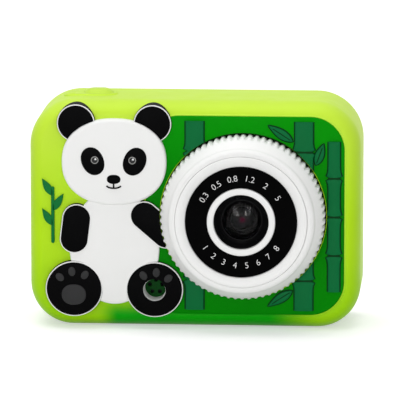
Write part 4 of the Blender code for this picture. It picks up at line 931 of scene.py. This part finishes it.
def make_ring():
    """The knurled ring: teeth round its back edge, and a smooth side and nose."""
    count, per = 74, 14
    total = count * per
    seat = BEZEL_RADIUS + 0.00005
    bore = BARREL_RADIUS + RUN_GAP
    front = FRONT + 0.0004
    back = RING_HIGH.y
    step = FRONT + BEZEL_DEPTH + RUN_GAP
    height, gap = 0.00065, 0.13
    floor = RING_RADIUS - height
    teeth = back - 0.0060
    side, bend, nose = 0.0202, 0.0016, 0.0188
    # radius, depth and how far the notches cut in there
    profile = [(bore, back, 0.0), (floor, back, 0.0), (RING_RADIUS - 0.0002, back, height - 0.0002),
               (RING_RADIUS, back - 0.0003, height), (RING_RADIUS, teeth, height)]
    for i in range(1, 11):
        share = i / 10
        radius = RING_RADIUS + (side - RING_RADIUS) * share + 0.0006 * share * (1 - share)
        profile.append((radius, teeth + (front + bend - teeth) * share, max(0.0, radius - floor)))
    profile += [(nose + (side - nose) * c, front + bend * (1 - s), 0.0) for s, c in quarter(12, 1)]
    profile += [(seat + 0.0008, front - 0.00001, 0.0), (seat + 0.00016, front, 0.0),
                (seat + 0.00004, front + 0.00004, 0.0), (seat, front + 0.0002, 0.0), (seat, step, 0.0),
                (bore, step, 0.0)]
    bm = bmesh.new()
    rings = []
    for radius, depth, cut in profile:
        ring = []
        for i, (c, s) in enumerate(circle(total)):
            t = (i % per) / per
            rib = math.sin(math.pi * (t - gap) / (1 - 2 * gap)) ** 0.6 if gap < t < 1 - gap else 0.0
            r = radius - cut * (1 - rib)
            ring.append(bm.verts.new((LENS_X + r * c, depth, LENS_Z + r * s)))
        rings.append(ring)
    bridge(bm, rings, closed=True)
    ring = solid("knurled_ring", bm, WHITE_HARD)
    finish_mesh(ring, 50)
    set_piece(ring, "white_plastic", "lens_ring", body="lens_ring")


def make_lens():
    make_ring()
    web = FRONT + BEZEL_DEPTH + SEAT_GAP
    back = web - SEAT_GAP
    edge = [(BEZEL_RADIUS - 0.00028 * (1 - s), FRONT + 0.0003 * (1 - c)) for s, c in quarter(5)][::-1]
    bore = TRIM_RADIUS + SEAT_GAP
    profile = edge + [(0.0174, FRONT - 0.00002), (0.0168, FRONT + 0.00012), (0.0160, FRONT + 0.00052),
                      (bore + 0.0001, FRONT + 0.00086), (bore, FRONT + 0.0010), (bore, back),
                      (BEZEL_RADIUS, back)]
    set_piece(turned("bezel", profile, WHITE_HARD, 192), "white_plastic", "lens_bezel")
    trim_front = back - 0.0010
    trim_bore = BAND_RADIUS + SEAT_GAP
    profile = [(trim_bore, trim_front), (TRIM_RADIUS - 0.0001, trim_front),
               (TRIM_RADIUS, trim_front + 0.0001), (TRIM_RADIUS, back), (trim_bore, back)]
    set_piece(turned("trim", profile, BLACK_HARD, 160), "black_plastic", "trim_ring")
    ring_front = back - 0.0013
    profile = [(BAND_BORE, back), (BAND_BORE, ring_front + 0.0004)]
    profile += [(BAND_BORE + 0.0004 * (1 - c), ring_front + 0.0004 * (1 - s)) for s, c in quarter(5, 1)]
    profile += [(BAND_RADIUS - 0.0004 * (1 - s), ring_front + 0.0004 * (1 - c)) for s, c in quarter(5)]
    profile += [(BAND_RADIUS, back)]
    set_piece(turned("inner_band", profile, WHITE_HARD, 160), "white_plastic", "inner_ring")

    glass_low, glass_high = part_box("front_lens")
    glass = (glass_high.x - glass_low.x) / 2
    step, glass_seat = glass_low.y, glass_high.y
    seat = glass_seat + SEAT_GAP
    cell = glass + SEAT_GAP
    hold_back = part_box("lens_holder")[1].y
    mouth = 0.0074
    ledge = cell + 0.0002
    profile = [(0.0080, web), (mouth, web), (mouth - 0.0002, web + 0.0002)]
    for i in range(1, 4):
        radius = mouth - 0.0002 + (ledge - mouth + 0.0002) * i / 3
        depth = web + 0.0002 + (step - web - 0.0002) * i / 3
        profile += [(radius + 0.00032, depth - 0.00014),
                    (radius + 0.00022, depth)] if i < 3 else [(radius, depth)]
    profile += [(cell, step), (cell, seat), (0.0034, seat), (0.0034, hold_back), (0.0080, hold_back)]
    set_piece(turned("lens_well", profile, BLACK_MATT, 160), "black_plastic", "lens_holder")
    crown = 0.0012
    dome = [(0.0, glass_seat - 0.0006), (glass * 0.8, glass_seat - 0.0006),
            (glass * 0.94, glass_seat - 0.0002), (glass, glass_seat - 0.0003)]
    dome += [(glass * (1 - i / 40), glass_seat - 0.0010 - crown * (1 - (1 - i / 40) ** 2)) for i in range(41)]
    set_piece(turned("front_dome", dome, GLASS_MAT, 192, closed=False), "lens_glass", "front_lens")
    iris = [(0.0033, seat - 0.00005), (cell - 0.00008, seat - 0.00005), (cell - 0.00008, seat - 0.0005),
            (0.0036, seat - 0.0003)]
    set_piece(turned("lens_iris", iris, BLACK_HARD, 128), "black_plastic")
    inner = [(0.0033, glass_seat + 0.0012)]
    inner += [(0.0033 * (1 - i / 24), glass_seat + 0.0008 - 0.0010 * (1 - (1 - i / 24) ** 2))
              for i in range(25)]
    set_piece(turned("inner_element", inner, COATED_REFLECTION_MAT, 128, closed=False), "lens_glass")
    make_scale(trim_front)


def make_scale(level):
    """A plain dial of numbers on the black ring."""
    def put(text, degrees, upright):
        curve = bpy.data.curves.new("digits", 'FONT')
        curve.body = text
        curve.size = DIGIT_SIZE
        curve.align_x = 'CENTER'
        curve.align_y = 'CENTER'
        curve.extrude = 0.00003
        curve.offset = -0.00003
        holder = bpy.data.objects.new("digits", curve)
        bpy.context.scene.collection.objects.link(holder)
        bpy.context.view_layer.update()
        mesh = bpy.data.meshes.new_from_object(holder.evaluated_get(bpy.context.evaluated_depsgraph_get()))
        drop(holder)
        a = math.radians(degrees)
        turn = a - math.pi / 2 if upright else a + math.pi / 2
        spin = Matrix.Rotation(-turn, 4, 'Y')
        stand = Matrix.Rotation(math.pi / 2, 4, 'X')
        place = Matrix.Translation((LENS_X + DIAL_RADIUS * math.cos(a), level - 0.00002,
                                    LENS_Z + DIAL_RADIUS * math.sin(a)))
        bm = bmesh.new()
        bm.from_mesh(mesh)
        bmesh.ops.remove_doubles(bm, verts=bm.verts, dist=1e-6)
        bm.transform(place @ spin @ stand)
        name = "number_" + text.replace(".", "_") + ("_top" if upright else "_low")
        set_piece(solid(name, bm, INK), "white_plastic")

    for i, text in enumerate(("0.3", "0.5", "0.8", "1.2", "2", "5")):
        put(text, 146 - 22.4 * i, True)
    for i, text in enumerate(("1", "2", "3", "4", "5", "6", "7", "8")):
        put(text, 216 + 15.43 * i, False)


# Buttons, back and underside

def make_shutter():
    x, y, length, wide = shutter_place()
    low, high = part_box("shutter_button")
    outline = rounded_rect(length + 0.0003, wide + 0.0003, wide, (x, y), 24)
    flange = grow(outline, 0.00055)
    rise, slope = 0.0011, 0.0020
    sections = [(low.z, flange), (low.z + 0.0012, flange), (low.z + 0.0012, outline),
                (high.z - rise, outline)]
    for i in range(1, 9):
        share = i / 9
        sections.append((high.z - rise * (1 - math.sin(math.pi / 2 * share)), grow(outline, -slope * share)))
    cap = sections[-1][1]
    for i in range(1, 6):
        share = 1 - i / 6
        ring = [(x + (a - x) * share, y + (b - y) * share) for a, b in cap]
        sections.append((high.z - 0.00001 * share, ring))
    button = loft("shutter_cap", sections, SHUTTER_LIT_MAT, level_plane)
    set_piece(button, "key_lime", "shutter_button", body="shutter_button")


def icon(kind, x, z, level, size):
    """A plain sign for a key as flat ink: an arrow head, a dot in a ring, or a power sign."""
    bm = bmesh.new()

    def flat(points):
        bridge(bm, [[bm.verts.new((a, y, b)) for a, b in points] for y in (level + 0.00004, level - 0.00005)])

    def band(inner, outer, start, end, steps=40):
        flat(arc(x, z, outer, start, end, steps) + arc(x, z, inner, end, start, steps))

    if kind in ("up", "down", "left", "right"):
        turn = {"right": 0, "up": 90, "left": 180, "down": 270}[kind]
        corners = [(size, 0.0), (-size * 0.6, size * 0.85), (-size * 0.6, -size * 0.85)]
        c, s = math.cos(math.radians(turn)), math.sin(math.radians(turn))
        flat([(x + a * c - b * s, z + a * s + b * c) for a, b in corners])
    elif kind == "ok":
        band(size * 0.85, size * 1.15, 0.0, 359.0, 60)
        flat(arc(x, z, size * 0.35, 0.0, 350.0, 35))
    else:
        band(size * 0.8, size * 1.1, 120.0, 420.0)
        flat([(x - size * 0.14, z + size * 0.25), (x + size * 0.14, z + size * 0.25),
              (x + size * 0.14, z + size * 1.3), (x - size * 0.14, z + size * 1.3)])
    return solid(f"icon_{kind}", bm, INK)


def make_keys():
    for name in KEYS:
        low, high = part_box(name)
        x, z = centre_of(low, high)
        flange = (high.x - low.x) / 2
        radius = flange - FLANGE
        profile = [(0.0, low.y), (flange, low.y), (flange, low.y + 0.0010), (radius, low.y + 0.0010),
                   (radius, high.y - 0.0006)]
        profile += [(radius - 0.0007 * (1 - c), high.y - 0.0006 * (1 - s)) for s, c in quarter(6, 1)]
        dish = 0.00025
        profile += [((radius - 0.0007) * (1 - i / 6), high.y - dish * (1 - (1 - i / 6) ** 2))
                    for i in range(1, 7)]
        cap = turned(f"{name}_cap", profile, KEY_MAT, 72, (x, z), closed=False)
        set_piece(cap, "key_lime", name, body=name)
        kind = name.replace("key_", "").replace("_button", "")
        sign = icon(kind, x, z, high.y - dish * 0.75, radius * 0.36)
        set_piece(sign, "white_plastic", body=name)


def make_back():
    """The hard body's back: a smooth shell with the screen's seat, key holes and screw wells."""
    front = SHELL_LOW.y
    chamfer, wall = 0.0015, 0.0018
    sections = [(front, body_outline(0.0))]
    for s, c in quarter(6):
        sections.append((BODY_BACK - chamfer * (1 - s), body_outline(-chamfer * (1 - c))))
    shell = loft("back_shell", sections, BODY_MAT)
    screen_low, screen_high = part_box("screen_window")
    middle = centre_of(screen_low, screen_high)
    width, height = screen_high.x - screen_low.x, screen_high.z - screen_low.z
    seat = rounded_rect(width + 0.0003, height + 0.0003, 0.00315, middle, 12)
    sight = rounded_rect(width - 0.0070, height - 0.0070, 0.0015, middle, 12)
    floor = BODY_BACK - wall
    tools = [prism("hollow_cut", body_outline(-wall), front - 0.0003, floor),
             prism("seat_cut", seat, screen_low.y - SEAT_GAP, BODY_BACK + 0.0003),
             prism("sight_cut", sight, floor - 0.0003, BODY_BACK + 0.0003)]
    for name in KEYS:
        low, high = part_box(name)
        hole = (high.x - low.x) / 2 - FLANGE + RUN_GAP
        cut = [(hole, floor - 0.0003), (hole, BODY_BACK - 0.0003), (hole + 0.0005, BODY_BACK + 0.0003)]
        tools.append(turned(f"{name}_cut", cut, None, 72, centre_of(low, high), False))
    x, y, length, wide = shutter_place()
    slot = rounded_rect(length + 0.0006, wide + 0.0006, wide, (x, y), 16)
    top = SHELL_HIGH.z
    tools.append(prism("slot_cut", slot, top - wall - 0.0003, top + 0.0003, plane=level_plane))
    for node in ("usb_socket", "card_socket"):
        low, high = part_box(node)
        across, deep = high.x - low.x, high.y - low.y
        mouth = rounded_rect(across + 0.0006, deep + 0.0006, deep / 2, level_centre(low, high), 12)
        tools.append(prism(f"{node}_cut", mouth, 0.0, SHELL_LOW.z + wall + 0.0003, plane=level_plane))
    shape_with(shell, tools)
    drop(*tools)
    for i in range(1, 5):
        low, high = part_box(f"case_screw_{i}")
        centre = centre_of(low, high)
        boss = cylinder(f"boss_{i}", 0.0030, front, floor + wall / 2, centre, 64)
        shape_with(shell, [boss], 'UNION')
        seat_level = high.y - 0.0012 - SEAT_GAP
        well = [(0.0022, seat_level), (0.0022, BODY_BACK - 0.0003), (0.0027, BODY_BACK + 0.0003)]
        ways = [cylinder(f"way_{i}", 0.0013, front - 0.0003, seat_level + 0.0003, centre, 48),
                turned(f"well_{i}", well, None, 64, centre, False)]
        shape_with(shell, ways)
        drop(boss, *ways)
    set_piece(shell, "body_green", "rear_shell")

    window = pad("screen_glass", rounded_rect(width, height, 0.0030, middle, 14), screen_high.y, screen_low.y,
                 0.0003, SCREEN_MAT, rings=1, steps=5)
    set_piece(window, "clear_acrylic", "screen_window")


def make_screws():
    for i in range(1, 5):
        low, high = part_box(f"case_screw_{i}")
        x, z = centre_of(low, high)
        head = high.y
        profile = [(0.0, low.y), (0.00033, low.y), (0.0010, low.y + 0.0015), (0.0010, head - 0.0012),
                   (0.0019, head - 0.0012), (0.0019, head - 0.0005), (0.00175, head - 0.00022),
                   (0.0013, head), (0.0, head + 0.00003)]
        screw = turned(f"screw_{i}", profile, STEEL_MAT, 48, (x, z), closed=False)
        bars = []
        for k in range(2):
            half = (0.00115, 0.00022) if k else (0.00022, 0.00115)
            box = rounded_rect(2 * half[0], 2 * half[1], 0.00008, (x, z), 2)
            bars.append(prism(f"drive_{i}_{k}", box, head - 0.0006, head + 0.0004))
        shape_with(screw, bars)
        drop(*bars)
        set_piece(screw, "steel", f"case_screw_{i}")


def make_sockets():
    """The charging socket's tongue with its contacts, and the card socket's spring contacts."""
    def contact(name, width, depth, at, start, end):
        outline = rounded_rect(width, depth, 0.00003, at, 2)
        set_piece(prism(name, outline, start, end, GOLD_MAT, level_plane), "steel")

    low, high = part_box("usb_socket")
    x, y = level_centre(low, high)
    tongue = rounded_rect(0.0064, 0.0007, 0.0003, (x, y), 6)
    sections = [(low.z + 0.0008, grow(tongue, -0.0001)), (low.z + 0.0010, tongue), (low.z + 0.0053, tongue)]
    set_piece(loft("usb_tongue", sections, BLACK_MATT, level_plane), "black_plastic")
    for label, side in (("front", -1), ("back", 1)):
        for k in range(6):
            at = (x - 0.0025 + 0.0010 * k, y + side * 0.00036)
            contact(f"usb_contact_{label}_{k}", 0.0005, 0.00008, at, low.z + 0.0012, low.z + 0.0052)
    low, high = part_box("card_socket")
    x, y = level_centre(low, high)
    for k in range(8):
        at = (x - 0.0042 + 0.0012 * k, y - 0.00036)
        contact(f"card_contact_{k}", 0.0006, 0.00010, at, low.z + 0.0020, low.z + 0.0110)


def dress_nodes():
    """Give every node that stays its own finish: plain steel where no other is named."""
    looks = {"front_shell": BODY_MAT, "lens_barrel": GREY_MAT, "sensor_board": BOARD_MAT,
             "main_board": BOARD_MAT, "image_sensor": BLACK_HARD, "lcd_panel": GREY_MAT, "battery": FOIL_MAT,
             "speaker": DARK_STEEL}
    for name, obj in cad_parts.items():
        if not obj.hide_render:
            obj.data.materials.clear()
            obj.data.materials.append(looks.get(name, STEEL_MAT))


make_stage()
make_case()
ring_way = make_panel()
make_canes(ring_way)
make_sprig()
make_bear(ring_way)
drop(ring_way)
make_lens()
make_shutter()
make_keys()
make_back()
make_screws()
make_sockets()
dress_nodes()
